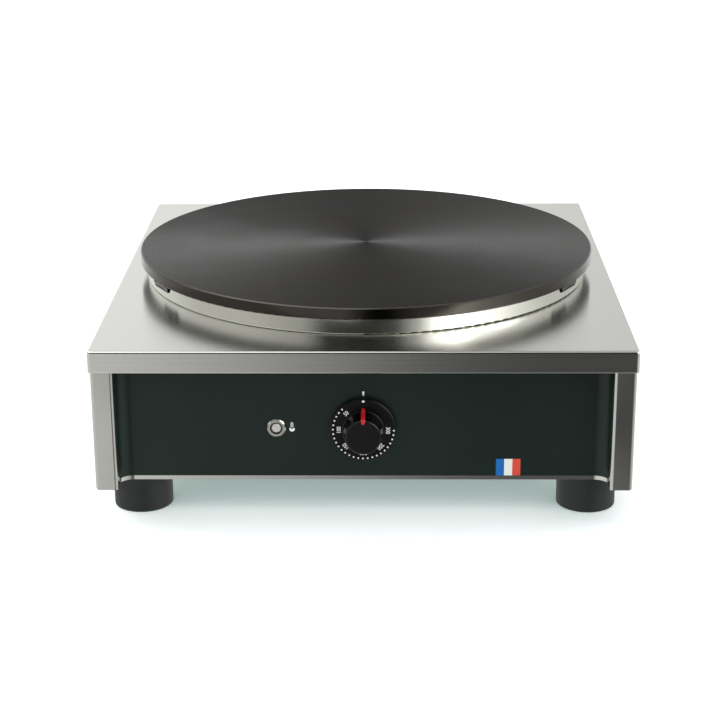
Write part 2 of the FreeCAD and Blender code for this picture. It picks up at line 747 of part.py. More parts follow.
def tube(points, bend, radius):
    """A round bar along straight runs joined by arcs of one bend radius."""
    edges = []
    start = points[0]
    for i in range(1, len(points) - 1):
        corner = points[i]
        back = (points[i - 1] - corner).normalize()
        ahead = (points[i + 1] - corner).normalize()
        half_turn = (math.pi - back.getAngle(ahead)) / 2
        setback = bend * math.tan(half_turn)
        middle = (back + ahead).normalize() * (bend / math.cos(half_turn) - bend)
        arc_start = corner + back * setback
        arc_end = corner + ahead * setback
        edges.append(Part.LineSegment(start, arc_start).toShape())
        edges.append(Part.Arc(arc_start, corner + middle, arc_end).toShape())
        start = arc_end
    edges.append(Part.LineSegment(start, points[-1]).toShape())
    return sweep(edges, radius)


def sweep(edges, radius):
    """A round section carried along joined edges."""
    path = Part.Wire(edges)
    first = edges[0]
    start = first.valueAt(first.FirstParameter)
    heading = first.tangentAt(first.FirstParameter)
    section = Part.Wire([Part.makeCircle(radius, start, heading)])
    solid = path.makePipeShell([section], True, False)
    expected = math.pi * radius**2 * path.Length
    if abs(solid.Volume - expected) > 0.01 * expected:
        raise ValueError("a swept tube has the wrong volume")
    return solid


def shaped(name, shape):
    """A sub-part whose shape is swept rather than sketched."""
    item = doc.addObject("Part::Feature", name)
    item.Shape = shape
    return item


# Case


def top_cover():
    """Folded stainless cover: flat top, skirt all round, one large round opening."""
    body = new_body("top_cover_body")
    outline = sketch_on(body, "XY_Plane", "cover_outline", skirt_foot)
    polygon(outline, rectangle(-half_width, half_width, -half_depth, half_depth))
    solid = pad(body, outline, dim.coverSkirt, "cover_block")
    spots = [(half_width * i, half_depth * j) for i in (-1, 1) for j in (-1, 1)]
    corners = upright_edges(solid, spots)
    solid = round_edges(body, solid, corners, dim.coverCornerRadius, "cover_corners")
    rim = level_edges(solid, case_top)
    solid = round_edges(body, solid, rim, dim.coverBendRadius, "cover_bends")
    faces = solid.Shape.Faces
    underside = [i for i, face in enumerate(faces, 1) if near(face.CenterOfMass.z, skirt_foot)]
    shell = body.newObject("PartDesign::Thickness", "cover_shell")
    shell.Base = (solid, ["Face%d" % underside[0]])
    shell.Reversed = True
    bind(shell, "Value", t)
    doc.recompute()
    hem = outer_rim(shell, skirt_foot)
    round_edges(body, shell, hem, dim.coverHemRadius, "cover_hem")
    drill(body, "XY_Plane", "cover_opening", case_top, [(0, 0, opening_radius)], 2 * t)
    hole = [(rivet_circle, 0, dim.rivetRadius + dim.holeClearance)]
    holes = drill(body, "XY_Plane", "cover_rivet_hole", case_top, hole, 2 * t)
    polar_pattern(body, holes, dim.ringRivetCount, "cover_rivet_holes")
    return keep(body, "top_cover")


def ring_collar():
    """Upright stainless band with an inward foot flange riveted to the cover."""
    inner = opening_radius
    band_inner = ring_radius - dim.ringSheet
    top = case_top + dim.ringHeight
    body = new_body("ring_collar_body")
    corners = [
        (inner, case_top),
        (ring_radius, case_top),
        (ring_radius, top),
        (band_inner, top),
        (band_inner, case_top + dim.ringSheet),
        (inner, case_top + dim.ringSheet),
    ]
    solid = revolve(body, corners, "ring_turned")
    outer_bend = dim.ringBendRadius + dim.ringSheet
    foot = level_edges(solid, case_top, ring_radius)
    solid = round_edges(body, solid, foot, outer_bend, "ring_outer_bend")
    root = level_edges(solid, case_top + dim.ringSheet, band_inner)
    round_edges(body, solid, root, dim.ringBendRadius, "ring_inner_bend")
    hole = [(rivet_circle, 0, dim.rivetRadius + dim.holeClearance)]
    lift = case_top + dim.ringSheet
    holes = drill(body, "XY_Plane", "ring_rivet_hole", lift, hole, dim.ringSheet)
    polar_pattern(body, holes, dim.ringRivetCount, "ring_rivet_holes")
    return keep(body, "ring_collar")


def ring_rivets():
    """Rivets that hold the ring's foot flange to the cover."""
    rivets = []
    count = int(dim.ringRivetCount.value)
    grip = dim.ringSheet + t
    for i in range(count):
        angle = 360 * i / count
        x = rivet_circle * cosine(angle)
        y = rivet_circle * sine(angle)
        seat = case_top + dim.ringSheet
        head = rod("ring_rivet_head", (x, y, seat), (0, 0, 1), dim.rivetHeadRadius,
                   dim.rivetHeadHeight)
        shank = rod("ring_rivet_shank", (x, y, seat - grip), (0, 0, 1), dim.rivetRadius, grip)
        tail = rod("ring_rivet_tail", (x, y, seat - grip), (0, 0, -1), dim.rivetHeadRadius,
                   dim.rivetHeadHeight)
        rivets.append(fuse("ring_rivet", [head, shank, tail]))
    return keep(group("ring_rivet_group", rivets), "ring_rivets")


def side_panel():
    """Right side: wall, front and rear flanges with returns, bottom and top flanges."""
    body = new_body("side_panel_body")
    section = sketch_on(body, "XY_Plane", "side_section", case_floor)
    flange_back = side_end - t
    polygon(section, [
        (flange_edge, -return_tip),
        (flange_edge, -side_end),
        (side_outer, -side_end),
        (side_outer, side_end),
        (flange_edge, side_end),
        (flange_edge, return_tip),
        (leg_face, return_tip),
        (leg_face, flange_back),
        (side_inner, flange_back),
        (side_inner, -flange_back),
        (leg_face, -flange_back),
        (leg_face, -return_tip),
    ])
    solid = pad(body, section, panel_top - case_floor, "side_wall")
    outer = [(x, side_end * s) for x in (flange_edge, side_outer) for s in (-1, 1)]
    inner = [(x, flange_back * s) for x in (leg_face, side_inner) for s in (-1, 1)]
    radius = dim.sheetBendRadius
    solid = round_edges(body, solid, upright_edges(solid, outer), radius + t, "side_outer_bends")
    round_edges(body, solid, upright_edges(solid, inner), radius, "side_inner_bends")
    flange_end = panel_back - dim.sideFlangeEndGap
    lower = sketch_on(body, "XY_Plane", "side_foot_flange", case_floor)
    polygon(lower, rectangle(foot_flange_edge, side_outer - t / 2, -flange_end, flange_end))
    pad(body, lower, t, "side_bottom_flange")
    upper_end = side_end - dim.sideTopFlangeSetback
    upper = sketch_on(body, "XY_Plane", "side_top_flange_outline", panel_top)
    edge = side_inner - dim.sideTopFlange
    polygon(upper, rectangle(edge, side_outer - t / 2, -upper_end, upper_end))
    pad(body, upper, t, "side_top_flange", down=True)
    foot_hole = dim.boltRadius + dim.holeClearance
    holes = [(foot_x, foot_y * s, foot_hole) for s in (-1, 1)]
    screw_x = bottom_half_width - dim.bottomScrewInset
    screw_hole = dim.screwRadius + dim.holeClearance
    holes += [(screw_x, dim.bottomScrewSpacing / 2 * s, screw_hole) for s in (-1, 1)]
    drill(body, "XY_Plane", "side_bottom_holes", case_floor + t, holes, t)
    stud_x = side_inner - dim.coverStudInset
    stud_hole = dim.coverStudRadius + dim.holeClearance
    holes = [(stud_x, dim.coverStudSpacing / 2 * s, stud_hole) for s in (-1, 1)]
    drill(body, "XY_Plane", "side_top_holes", panel_top, holes, t)
    bend = sketch_on(body, "XZ_Plane", "side_bottom_bend_outline", side_end)
    corner_waste(bend, side_outer, case_floor, radius + t)
    pocket(body, bend, 2 * side_end, "side_bottom_bend")
    return keep(body, "right_side_panel")


def recessed_panel(name):
    """Flat web facing -Y with curved ends that run forward beside the sides' returns."""
    body = new_body(name + "_body")
    section = sketch_on(body, "XY_Plane", name + "_section", case_floor)
    leg_back = leg_face + t
    polygon(section, [
        (-leg_face, -leg_tip),
        (-leg_face, -panel_face),
        (leg_face, -panel_face),
        (leg_face, -leg_tip),
        (leg_back, -leg_tip),
        (leg_back, -panel_back),
        (-leg_back, -panel_back),
        (-leg_back, -leg_tip),
    ])
    solid = pad(body, section, panel_top - case_floor, name + "_web")
    hollow = upright_edges(solid, [(leg_face * s, -panel_face) for s in (-1, 1)])
    solid = round_edges(body, solid, hollow, dim.panelEndRadius, name + "_hollow_ends")
    back = upright_edges(solid, [(leg_back * s, -panel_back) for s in (-1, 1)])
    round_edges(body, solid, back, dim.panelEndRadius + t, name + "_round_ends")
    reach = foot_flange_edge - dim.sideFlangeEndGap
    far = -panel_back + dim.panelFlangeWidth
    lower = sketch_on(body, "XY_Plane", name + "_foot", case_floor)
    polygon(lower, rectangle(-reach, reach, -panel_back - t / 2, far))
    pad(body, lower, t, name + "_bottom_flange")
    upper = sketch_on(body, "XY_Plane", name + "_head", panel_top)
    polygon(upper, rectangle(-reach, reach, -panel_back - t / 2, far))
    pad(body, upper, t, name + "_top_flange", down=True)
    hole = [(0, -bottom_half_depth + dim.bottomScrewInset, dim.screwRadius + dim.holeClearance)]
    drill(body, "XY_Plane", name + "_foot_hole", case_floor + t, hole, t)
    return body


def front_panel():
    """Front panel with holes for the shaft, the thermostat's screws and the pilot lamp."""
    body = recessed_panel("front_panel")
    spread = dim.thermostatScrewSpacing / 2
    screw_hole = dim.thermostatScrewRadius + dim.holeClearance
    holes = [
        (0, dim.dialHeight, dim.shaftHole),
        (-spread, dim.dialHeight, screw_hole),
        (spread, dim.dialHeight, screw_hole),
        (-dim.pilotOffset, dim.pilotHeight, dim.pilotBarrelRadius + dim.pilotHoleGap),
    ]
    drill(body, "XZ_Plane", "front_panel_holes", panel_face, holes, t)
    return keep(body, "front_panel")


def front_overlay():
    """Dark satin film on the front panel, short of its lower edge."""
    body = new_body("front_overlay_body")
    film_side = leg_face - dim.overlayThickness
    tip = return_tip - dim.overlayEndGap
    section = sketch_on(body, "XY_Plane", "film_section", case_floor + dim.overlayFoot)
    polygon(section, [
        (-leg_face, -tip),
        (-leg_face, -panel_face),
        (leg_face, -panel_face),
        (leg_face, -tip),
        (film_side, -tip),
        (film_side, -film_face),
        (-film_side, -film_face),
        (-film_side, -tip),
    ])
    height = panel_top - case_floor - dim.overlayFoot - dim.overlayTopGap
    solid = pad(body, section, height, "film_web")
    inner = upright_edges(solid, [(film_side * s, -film_face) for s in (-1, 1)])
    radius = dim.panelEndRadius - dim.overlayThickness
    solid = round_edges(body, solid, inner, radius, "film_inner_ends")
    outer = upright_edges(solid, [(leg_face * s, -panel_face) for s in (-1, 1)])
    round_edges(body, solid, outer, dim.panelEndRadius, "film_outer_ends")
    holes = [
        (0, dim.dialHeight, dim.overlayDialOpening),
        (-dim.pilotOffset, dim.pilotHeight, dim.pilotBarrelRadius + dim.pilotHoleGap),
    ]
    drill(body, "XZ_Plane", "film_holes", film_face, holes, dim.overlayThickness)
    return keep(body, "front_overlay")


VENT_SLOTS = 13


def rear_panel():
    """Rear panel: the front panel's form turned round, with air slots and the gland's hole."""
    body = recessed_panel("rear_panel")
    vent = sketch_on(body, "XZ_Plane", "vent_slot_outline", panel_face)
    reach = (dim.ventSlotLength - dim.ventSlotWidth) / 2
    span = dim.ventSlotPitch * (VENT_SLOTS - 1)
    first_x = -span / 2
    start = (first_x, dim.ventHeight - reach)
    end = (first_x, dim.ventHeight + reach)
    slot(vent, start, end, dim.ventSlotWidth / 2)
    first = pocket(body, vent, t, "vent_slot")
    linear_pattern(body, first, "H_Axis", span, VENT_SLOTS, "vent_slots")
    screw_hole = dim.screwRadius + dim.holeClearance
    holes = [(x * s, z, screw_hole) for x, z in rear_screw_spots() for s in (-1, 1)]
    holes.append((gland_x, dim.glandHeight, dim.glandBarrelRadius + dim.glandHoleGap))
    drill(body, "XZ_Plane", "rear_panel_holes", panel_face, holes, t)
    body.Placement = Placement(Vector(), Rotation(Vector(0, 0, 1), 180))
    return keep(body, "rear_panel")


def rear_screw_spots():
    """Distance from the middle and height of the rear screws on one side."""
    x = leg_face - dim.panelEndRadius - dim.rearScrewInset + dim.sideFlangeEndGap
    return [(x, dim.rearScrewLow), (x, dim.rearScrewHigh)]


def rear_panel_screws():
    """Screws through the rear panel into the corner brackets."""
    screws = []
    for x, z in rear_screw_spots():
        for s in (-1, 1):
            screws.append(case_screw("rear_screw", (x * s, panel_face, z), (0, 1, 0)))
    return keep(group("rear_screw_group", screws), "rear_panel_screws")


BOTTOM_SLOTS = 9
BOTTOM_SLOT_ROWS = 5


def bottom_screw_spots():
    """Plan positions of the bottom plate's screws."""
    x = bottom_half_width - dim.bottomScrewInset
    y = bottom_half_depth - dim.bottomScrewInset
    spots = [(x * i, dim.bottomScrewSpacing / 2 * j) for i in (-1, 1) for j in (-1, 1)]
    return spots + [(0, y), (0, -y)]


def bottom_plate():
    """Flat bottom with air slots, lying on the inward flanges of the case."""
    body = new_body("bottom_plate_body")
    lift = case_floor + t
    outline = sketch_on(body, "XY_Plane", "bottom_outline", lift)
    x, y = bottom_half_width, bottom_half_depth
    polygon(outline, rectangle(-x, x, -y, y))
    pad(body, outline, t, "bottom_sheet")
    column = sketch_on(body, "XY_Plane", "bottom_slot_column", bottom_top)
    half = (dim.bottomSlotLength - dim.bottomSlotWidth) / 2
    span = dim.bottomSlotRowPitch * (BOTTOM_SLOT_ROWS - 1)
    for i in range(BOTTOM_SLOTS):
        y = dim.bottomSlotPitch * (i - (BOTTOM_SLOTS - 1) / 2)
        middle = -span / 2
        slot(column, (middle - half, y), (middle + half, y), dim.bottomSlotWidth / 2)
    first = pocket(body, column, t, "bottom_slot_cut")
    linear_pattern(body, first, "H_Axis", span, BOTTOM_SLOT_ROWS, "bottom_slots")
    hole = dim.screwRadius + dim.holeClearance
    holes = [(x, y, hole) for x, y in bottom_screw_spots()]
    drill(body, "XY_Plane", "bottom_screw_holes", bottom_top, holes, t)
    return keep(body, "bottom_plate")


def bottom_plate_screws():
    """Screws from below through the flanges into the bottom plate."""
    screws = []
    for x, y in bottom_screw_spots():
        screws.append(case_screw("bottom_screw", (x, y, case_floor), (0, 0, -1)))
    return keep(group("bottom_screw_group", screws), "bottom_plate_screws")


def corner_bracket():
    """Rear right corner bracket: two legs on the case's inside and a tab over the foot."""
    body = new_body("corner_bracket_body")
    lift = case_floor + t
    thick = dim.bracketThickness
    inner_x = side_inner - thick
    inner_y = panel_back - thick
    near_x = side_inner - dim.bracketReach
    near_y = panel_back - dim.bracketReach
    section = sketch_on(body, "XY_Plane", "bracket_section", lift)
    polygon(section, [
        (side_inner, near_y),
        (side_inner, panel_back),
        (near_x, panel_back),
        (near_x, inner_y),
        (inner_x, inner_y),
        (inner_x, near_y),
    ])
    solid = pad(body, section, dim.bracketHeight, "bracket_legs")
    outside = upright_edges(solid, [(side_inner, panel_back)])
    radius = dim.sheetBendRadius
    solid = round_edges(body, solid, outside, radius + thick, "bracket_outer_bend")
    inside = upright_edges(solid, [(inner_x, inner_y)])
    round_edges(body, solid, inside, radius, "bracket_inner_bend")
    tab = sketch_on(body, "XY_Plane", "bracket_tab_outline", lift)
    corner_gap = radius + thick
    polygon(tab, [
        (near_x, near_y),
        (side_inner - thick / 2, near_y),
        (side_inner - thick / 2, panel_back - corner_gap),
        (side_inner - corner_gap, panel_back - thick / 2),
        (near_x, panel_back - thick / 2),
    ])
    pad(body, tab, thick, "bracket_tab")
    hole = [(foot_x, foot_y, dim.boltRadius + dim.holeClearance)]
    drill(body, "XY_Plane", "bracket_bolt_hole", lift + thick, hole, thick)
    holes = [(x, z, dim.screwRadius + dim.holeClearance) for x, z in rear_screw_spots()]
    drill(body, "XZ_Plane", "bracket_screw_holes", -inner_y, holes, thick)
    return keep(body, "corner_bracket_rear_right")


def corner_brackets():
    """The four brackets are mirror images of one."""
    rear_right = corner_bracket()
    rear_left = mirrored(rear_right, "corner_bracket_rear_left", Vector(1, 0, 0))
    mirrored(rear_right, "corner_bracket_front_right", Vector(0, 1, 0))
    mirrored(rear_left, "corner_bracket_front_left", Vector(0, 1, 0))


def cover_studs():
    """Weld studs under the cover, through the sides' top flanges, and their nuts."""
    studs = []
    nuts = []
    under = panel_top - t
    for i in (-1, 1):
        for j in (-1, 1):
            x = (side_inner - dim.coverStudInset) * i
            y = dim.coverStudSpacing / 2 * j
            top = case_top - t
            studs.append(rod("cover_stud", (x, y, top), (0, 0, -1), dim.coverStudRadius,
                             dim.coverStudLength))
            nuts.append(hex_nut("cover_nut", (x, y, under), (0, 0, -1), dim.coverNutFlats,
                                dim.coverNutHeight, dim.coverStudRadius + dim.shaftRunningGap))
    keep(group("cover_stud_group", studs), "cover_studs")
    keep(group("cover_nut_group", nuts), "cover_nuts")


def feet():
    """Four turned rubber feet with a recess below for the bolt's head."""
    bore = dim.boltRadius + dim.holeClearance
    names = {(-1, -1): "front_left", (1, -1): "front_right", (-1, 1): "rear_left",
             (1, 1): "rear_right"}
    for (i, j), name in names.items():
        body = new_body("foot_body_" + name)
        solid = revolve(body, [
            (dim.footBoreRadius, 0),
            (dim.footRadius, 0),
            (dim.footRadius, dim.footHeight),
            (bore, dim.footHeight),
            (bore, dim.footBoreDepth),
            (dim.footBoreRadius, dim.footBoreDepth),
        ], "foot_turned_" + name)
        rims = level_edges(solid, 0, dim.footRadius)
        round_edges(body, solid, rims, dim.footEdge, "foot_edge_" + name)
        place(body, foot_x * i, foot_y * j, 0)
        keep(body, "foot_" + name)


def foot_fasteners():
    """Bolts up through the feet, and nuts on the corner brackets."""
    bolts = []
    nuts = []
    washer_face = case_floor + t + dim.bracketThickness
    length = dim.footHeight - dim.footBoreDepth + dim.footBoltTail
    for i, j in POST_CORNERS:
        x = foot_x * i
        y = foot_y * j
        seat = (x, y, dim.footBoreDepth)
        bolts.append(screw("foot_bolt", seat, (0, 0, -1), dim.boltHeadRadius,
                           dim.boltHeadHeight, dim.boltRadius, length))
        nuts.append(hex_nut("foot_nut", (x, y, washer_face), (0, 0, 1), dim.clampNutFlats,
                            dim.clampNutHeight, dim.boltRadius + dim.shaftRunningGap))
    keep(group("foot_bolt_group", bolts), "foot_bolts")
    keep(group("foot_nut_group", nuts), "foot_nuts")


# Griddle and heater


def griddle_plate():
    """Turned cast-iron plate: thin rim outside the ring, thick middle, centring lugs."""
    body = new_body("griddle_plate_body")
    solid = revolve(body, [
        (0, core_under),
        (core_radius, core_under),
        (core_radius + dim.plateCoreDraft, rim_under),
        (plate_radius, rim_under),
        (plate_radius, plate_top),
        (0, plate_top),
    ], "plate_turned")
    top = level_edges(solid, plate_top, plate_radius)
    solid = round_edges(body, solid, top, dim.plateTopChamfer, "plate_top_edge",
                        "PartDesign::Chamfer")
    low = level_edges(solid, rim_under, plate_radius)
    round_edges(body, solid, low, dim.plateRimFillet, "plate_low_edge")
    lug = sketch_on(body, "XY_Plane", "lug_outline", rim_under)
    outer = plate_radius - dim.lugInset
    half = dim.lugWidth / 2
    polygon(lug, rectangle(-half, half, outer - dim.lugDepth, outer))
    first = pad(body, lug, dim.lugHeight, "lug", down=True, draft=dim.lugDraft)
    polar_pattern(body, first, dim.lugCount, "lugs")
    radius = dim.boltRadius + dim.boltClearance
    holes = [(post_x * i, post_y * j, radius) for i, j in POST_CORNERS]
    holes += [(clamp_circle * cosine(a), clamp_circle * sine(a), radius) for a in CLAMP_ANGLES]
    drill(body, "XY_Plane", "plate_bolt_holes", core_under, holes, dim.boltHoleDepth, up=True)
    clip_hole = [(*bulb_screw_spot(), dim.bulbScrewRadius + dim.boltClearance)]
    depth = dim.bulbScrewDepth + dim.boltClearance
    drill(body, "XY_Plane", "plate_clip_hole", core_under, clip_hole, depth, up=True)
    return keep(body, "griddle_plate")


def plate_posts():
    """Spacer posts between the reflector pan and the griddle."""
    posts = []
    bore = dim.boltRadius + dim.boltClearance
    for i, j in POST_CORNERS:
        base = (post_x * i, post_y * j, pan_floor)
        outer = rod("plate_post_outer", base, (0, 0, 1), dim.postRadius, dim.postLength)
        hole = rod("plate_post_bore", base, (0, 0, 1), bore, dim.postLength)
        posts.append(cut("plate_post", outer, hole))
    return keep(group("plate_post_group", posts), "plate_posts")


def plate_bolts():
    """Long bolts from under the bars, through bar, pan and post, into the griddle."""
    bolts = []
    length = core_under - bar_under + dim.boltHoleDepth - 1
    for i, j in POST_CORNERS:
        seat = (post_x * i, post_y * j, bar_under)
        bolts.append(screw("plate_bolt", seat, (0, 0, -1), dim.boltHeadRadius,
                           dim.boltHeadHeight, dim.boltRadius, length))
    return keep(group("plate_bolt_group", bolts), "plate_bolts")


def coil_leg_spots(radius, opening):
    """Plan positions of the two legs of a loop that opens towards the front."""
    x = radius * sine(opening) - dim.elementBendRadius * cosine(opening)
    y = -radius * cosine(opening) - dim.elementBendRadius * sine(opening)
    return [(x, y), (-x, y)]


def all_leg_spots():
    """Plan positions of the four element legs."""
    outer = coil_leg_spots(outer_coil, dim.outerCoilOpening)
    return outer + coil_leg_spots(inner_coil, dim.innerCoilOpening)


def reflector_pan():
    """Shallow bright pan that throws the heat up to the griddle."""
    body = new_body("reflector_pan_body")
    rim_top = pan_under + dim.panDepth
    revolve(body, [
        (0, pan_under),
        (pan_floor_radius + dim.panSheet, pan_under),
        (pan_rim_radius, rim_top),
        (pan_rim_radius - dim.panSheet, rim_top),
        (pan_floor_radius, pan_floor),
        (0, pan_floor),
    ], "pan_turned")
    bolt_hole = dim.boltRadius + dim.boltClearance
    leg_hole = dim.elementRadius + dim.padHoleClearance
    tube_hole = dim.capillaryRadius + dim.padHoleClearance
    holes = [(post_x * i, post_y * j, bolt_hole) for i, j in POST_CORNERS]
    holes += [(x, y, leg_hole) for x, y in all_leg_spots()]
    holes.append((0, -capillary_drop, tube_hole))
    drill(body, "XY_Plane", "pan_holes", pan_floor, holes, dim.panSheet)
    return keep(body, "reflector_pan")


def insulation_pad():
    """Mineral fibre pad in the pan, under the elements."""
    body = new_body("insulation_pad_body")
    outline = sketch_on(body, "XY_Plane", "pad_outline", pan_floor)
    circle(outline, 0, 0, pad_radius)
    gap = dim.padHoleClearance
    for i, j in POST_CORNERS:
        circle(outline, post_x * i, post_y * j, dim.postRadius + gap)
    for x, y in all_leg_spots():
        circle(outline, x, y, dim.elementRadius + gap)
    for angle in CLAMP_ANGLES:
        x = clamp_circle * cosine(angle)
        y = clamp_circle * sine(angle)
        circle(outline, x, y, dim.clampNutFlats / 2 / cosine(30) + gap)
    circle(outline, 0, -capillary_drop, dim.capillaryRadius + gap)
    pad(body, outline, dim.padThickness, "pad_disc")
    return keep(body, "insulation_pad")


def support_bar(label, side):
    """Square steel tube across the case, on the rails, under the pan."""
    body = new_body(label + "_body")
    half_length = side_inner - dim.barEndGap
    section = sketch_on(body, "YZ_Plane", label + "_section", -half_length)
    half = dim.barWidth / 2
    wall = dim.barWall
    middle = post_y * side
    polygon(section, rectangle(middle - half, middle + half, bar_under, pan_under))
    polygon(section, rectangle(middle - half + wall, middle + half - wall, bar_under + wall,
                               pan_under - wall))
    pad(body, section, 2 * half_length, label + "_tube")
    radius = dim.boltRadius + dim.boltClearance
    holes = [(post_x * i, middle, radius) for i in (-1, 1)]
    drill(body, "XY_Plane", label + "_bolt_holes", pan_under, holes, dim.barHeight)
    rivet = dim.rivetRadius + dim.holeClearance
    holes = [(bar_rivet_x() * i, middle, rivet) for i in (-1, 1)]
    lift = bar_under + wall
    drill(body, "XY_Plane", label + "_rivet_holes", lift, holes, wall)
    return keep(body, label)


def bar_rivet_x():
    """Distance of the bar rivets from the middle."""
    return side_inner - dim.railWidth + dim.barRivetInset


def bar_rail():
    """Right rail: an angle welded inside the side panel, carrying the bars' ends."""
    body = new_body("bar_rail_body")
    inner = side_inner - dim.railWidth
    thick = dim.railThickness
    section = sketch_on(body, "XZ_Plane", "rail_section", -dim.railLength / 2)
    polygon(section, [
        (inner, bar_under),
        (side_inner, bar_under),
        (side_inner, bar_under - dim.railHeight),
        (side_inner - thick, bar_under - dim.railHeight),
        (side_inner - thick, bar_under - thick),
        (inner, bar_under - thick),
    ])
    pad(body, section, dim.railLength, "rail_angle")
    rivet = dim.rivetRadius + dim.holeClearance
    holes = [(bar_rivet_x(), post_y * j, rivet) for j in (-1, 1)]
    drill(body, "XY_Plane", "rail_rivet_holes", bar_under, holes, thick)
    return keep(body, "right_bar_rail")


def bar_rivets():
    """Rivets from the rails' ledges into the bars' lower walls."""
    rivets = []
    under = bar_under - dim.railThickness
    grip = dim.railThickness + dim.barWall
    for i, j in POST_CORNERS:
        x = bar_rivet_x() * i
        y = post_y * j
        head = rod("bar_rivet_head", (x, y, under), (0, 0, -1), dim.rivetHeadRadius,
                   dim.rivetHeadHeight)
        shank = rod("bar_rivet_shank", (x, y, under), (0, 0, 1), dim.rivetRadius, grip)
        tail = rod("bar_rivet_tail", (x, y, under + grip), (0, 0, 1), dim.rivetHeadRadius,
                   dim.rivetHeadHeight)
        rivets.append(fuse("bar_rivet", [head, shank, tail]))
    return keep(group("bar_rivet_group", rivets), "bar_rivets")


def heating_element(label, radius, opening):
    """Tubular heater: a loop against the griddle's underside, then two legs down."""
    loop = radius.value
    bend = dim.elementBendRadius.value
    leg = dim.elementLegLength.value
    level = element_level.value
    half = math.radians(opening.value)
    front = -math.pi / 2
    down = Vector(0, 0, -1)

    def on_loop(angle):
        return Vector(loop * math.cos(angle), loop * math.sin(angle), level)

    def leg_points(angle, side):
        """Start, middle and end of the bend at one end of the loop, then the leg's tip."""
        start = on_loop(angle)
        outward = Vector(-math.sin(angle), math.cos(angle), 0) * side
        centre = start + down * bend
        end = centre + outward * bend
        middle = centre + (outward - down).normalize() * bend
        return start, middle, end, end + down * leg

    first = front + half
    last = front - half + 2 * math.pi
    start_a, middle_a, end_a, tip_a = leg_points(first, -1)
    start_b, middle_b, end_b, tip_b = leg_points(last, 1)
    curves = [
        Part.LineSegment(tip_a, end_a),
        Part.Arc(end_a, middle_a, start_a),
        Part.Arc(start_a, on_loop((first + last) / 2), start_b),
        Part.Arc(start_b, middle_b, end_b),
        Part.LineSegment(end_b, tip_b),
    ]
    edges = [curve.toShape() for curve in curves]
    return keep(shaped(label + "_sheath", sweep(edges, dim.elementRadius.value)), label)


def terminal_pins():
    """Terminal pins in the ends of the element legs."""
    pins = []
    end = element_level - dim.elementBendRadius - dim.elementLegLength
    for x, y in all_leg_spots():
        pins.append(rod("terminal_pin", (x, y, end), (0, 0, -1), dim.terminalPinRadius,
                        dim.terminalPinLength))
    return keep(group("terminal_pin_group", pins), "element_terminals")


def element_clamps():
    """Radial bars that press both loops to the griddle."""
    bars = []
    for angle in CLAMP_ANGLES:
        body = new_body("clamp_body_%d" % angle)
        outline = sketch_on(body, "XY_Plane", "clamp_outline_%d" % angle, clamp_top)
        inner = inner_coil - dim.clampReach
        outer = outer_coil + dim.clampReach
        half = dim.clampWidth / 2
        polygon(outline, rectangle(inner, outer, -half, half))
        circle(outline, clamp_circle, 0, dim.boltRadius + dim.boltClearance)
        pad(body, outline, dim.clampThickness, "clamp_bar_%d" % angle, down=True)
        body.Placement = Placement(Vector(), Rotation(Vector(0, 0, 1), angle))
        bars.append(body)
    return keep(group("clamp_group", bars), "element_clamps")


def clamp_fasteners():
    """Studs in the griddle's underside and the nuts that tighten the clamp bars."""
    studs = []
    nuts = []
    under = clamp_top - dim.clampThickness
    length = core_under - under + dim.clampStudDepth + dim.clampStudTail
    for angle in CLAMP_ANGLES:
        x = clamp_circle * cosine(angle)
        y = clamp_circle * sine(angle)
        foot = under - dim.clampStudTail
        studs.append(rod("clamp_stud", (x, y, foot), (0, 0, 1), dim.boltRadius, length))
        nuts.append(hex_nut("clamp_nut", (x, y, under), (0, 0, -1), dim.clampNutFlats,
                            dim.clampNutHeight, dim.boltRadius + dim.shaftRunningGap))
    keep(group("clamp_stud_group", studs), "clamp_studs")
    keep(group("clamp_nut_group", nuts), "clamp_nuts")


def bulb_screw_spot():
    """Plan position of the bulb clip's screw."""
    x = dim.bulbRadius + dim.bulbClipSheet + dim.bulbClipTab / 2
    y = -bulb_front + dim.bulbClipOffset
    return x, y


def thermostat_bulb():
    """Sensing bulb held against the griddle's underside."""
    base = (0, -bulb_front, core_under - dim.bulbRadius)
    return keep(rod("bulb", base, (0, 1, 0), dim.bulbRadius, dim.bulbLength), "thermostat_bulb")


def bulb_clip():
    """Bent strip under the bulb, with a tab screwed to the griddle, and its screw."""
    sheet_gap = dim.bulbClipSheet
    y = bulb_screw_spot()[1] - dim.bulbClipWidth / 2
    wide = dim.bulbClipWidth
    wall = dim.bulbRadius
    drop = 2 * dim.bulbRadius + sheet_gap
    tray = block("clip_tray", -wall - sheet_gap, y, core_under - drop, 2 * (wall + sheet_gap),
                 wide, sheet_gap)
    outer = block("clip_outer_wall", -wall - sheet_gap, y, core_under - drop, sheet_gap, wide,
                  drop)
    inner = block("clip_inner_wall", wall, y, core_under - drop, sheet_gap, wide, drop)
    tab = block("clip_tab", wall, y, core_under - sheet_gap, sheet_gap + dim.bulbClipTab, wide,
                sheet_gap)
    x, screw_y = bulb_screw_spot()
    seat = (x, screw_y, core_under - sheet_gap)
    hole_radius = dim.bulbScrewRadius + dim.boltClearance
    hole = rod("clip_hole", seat, (0, 0, 1), hole_radius, sheet_gap)
    strip = cut("clip_strip", fuse("clip_form", [tray, outer, inner, tab]), hole)
    keep(strip, "bulb_clip")
    fixing = screw("clip_screw", seat, (0, 0, -1), dim.bulbScrewHead, dim.bulbScrewRadius,
                   dim.bulbScrewRadius, sheet_gap + dim.bulbScrewDepth)
    keep(fixing, "bulb_clip_screw")


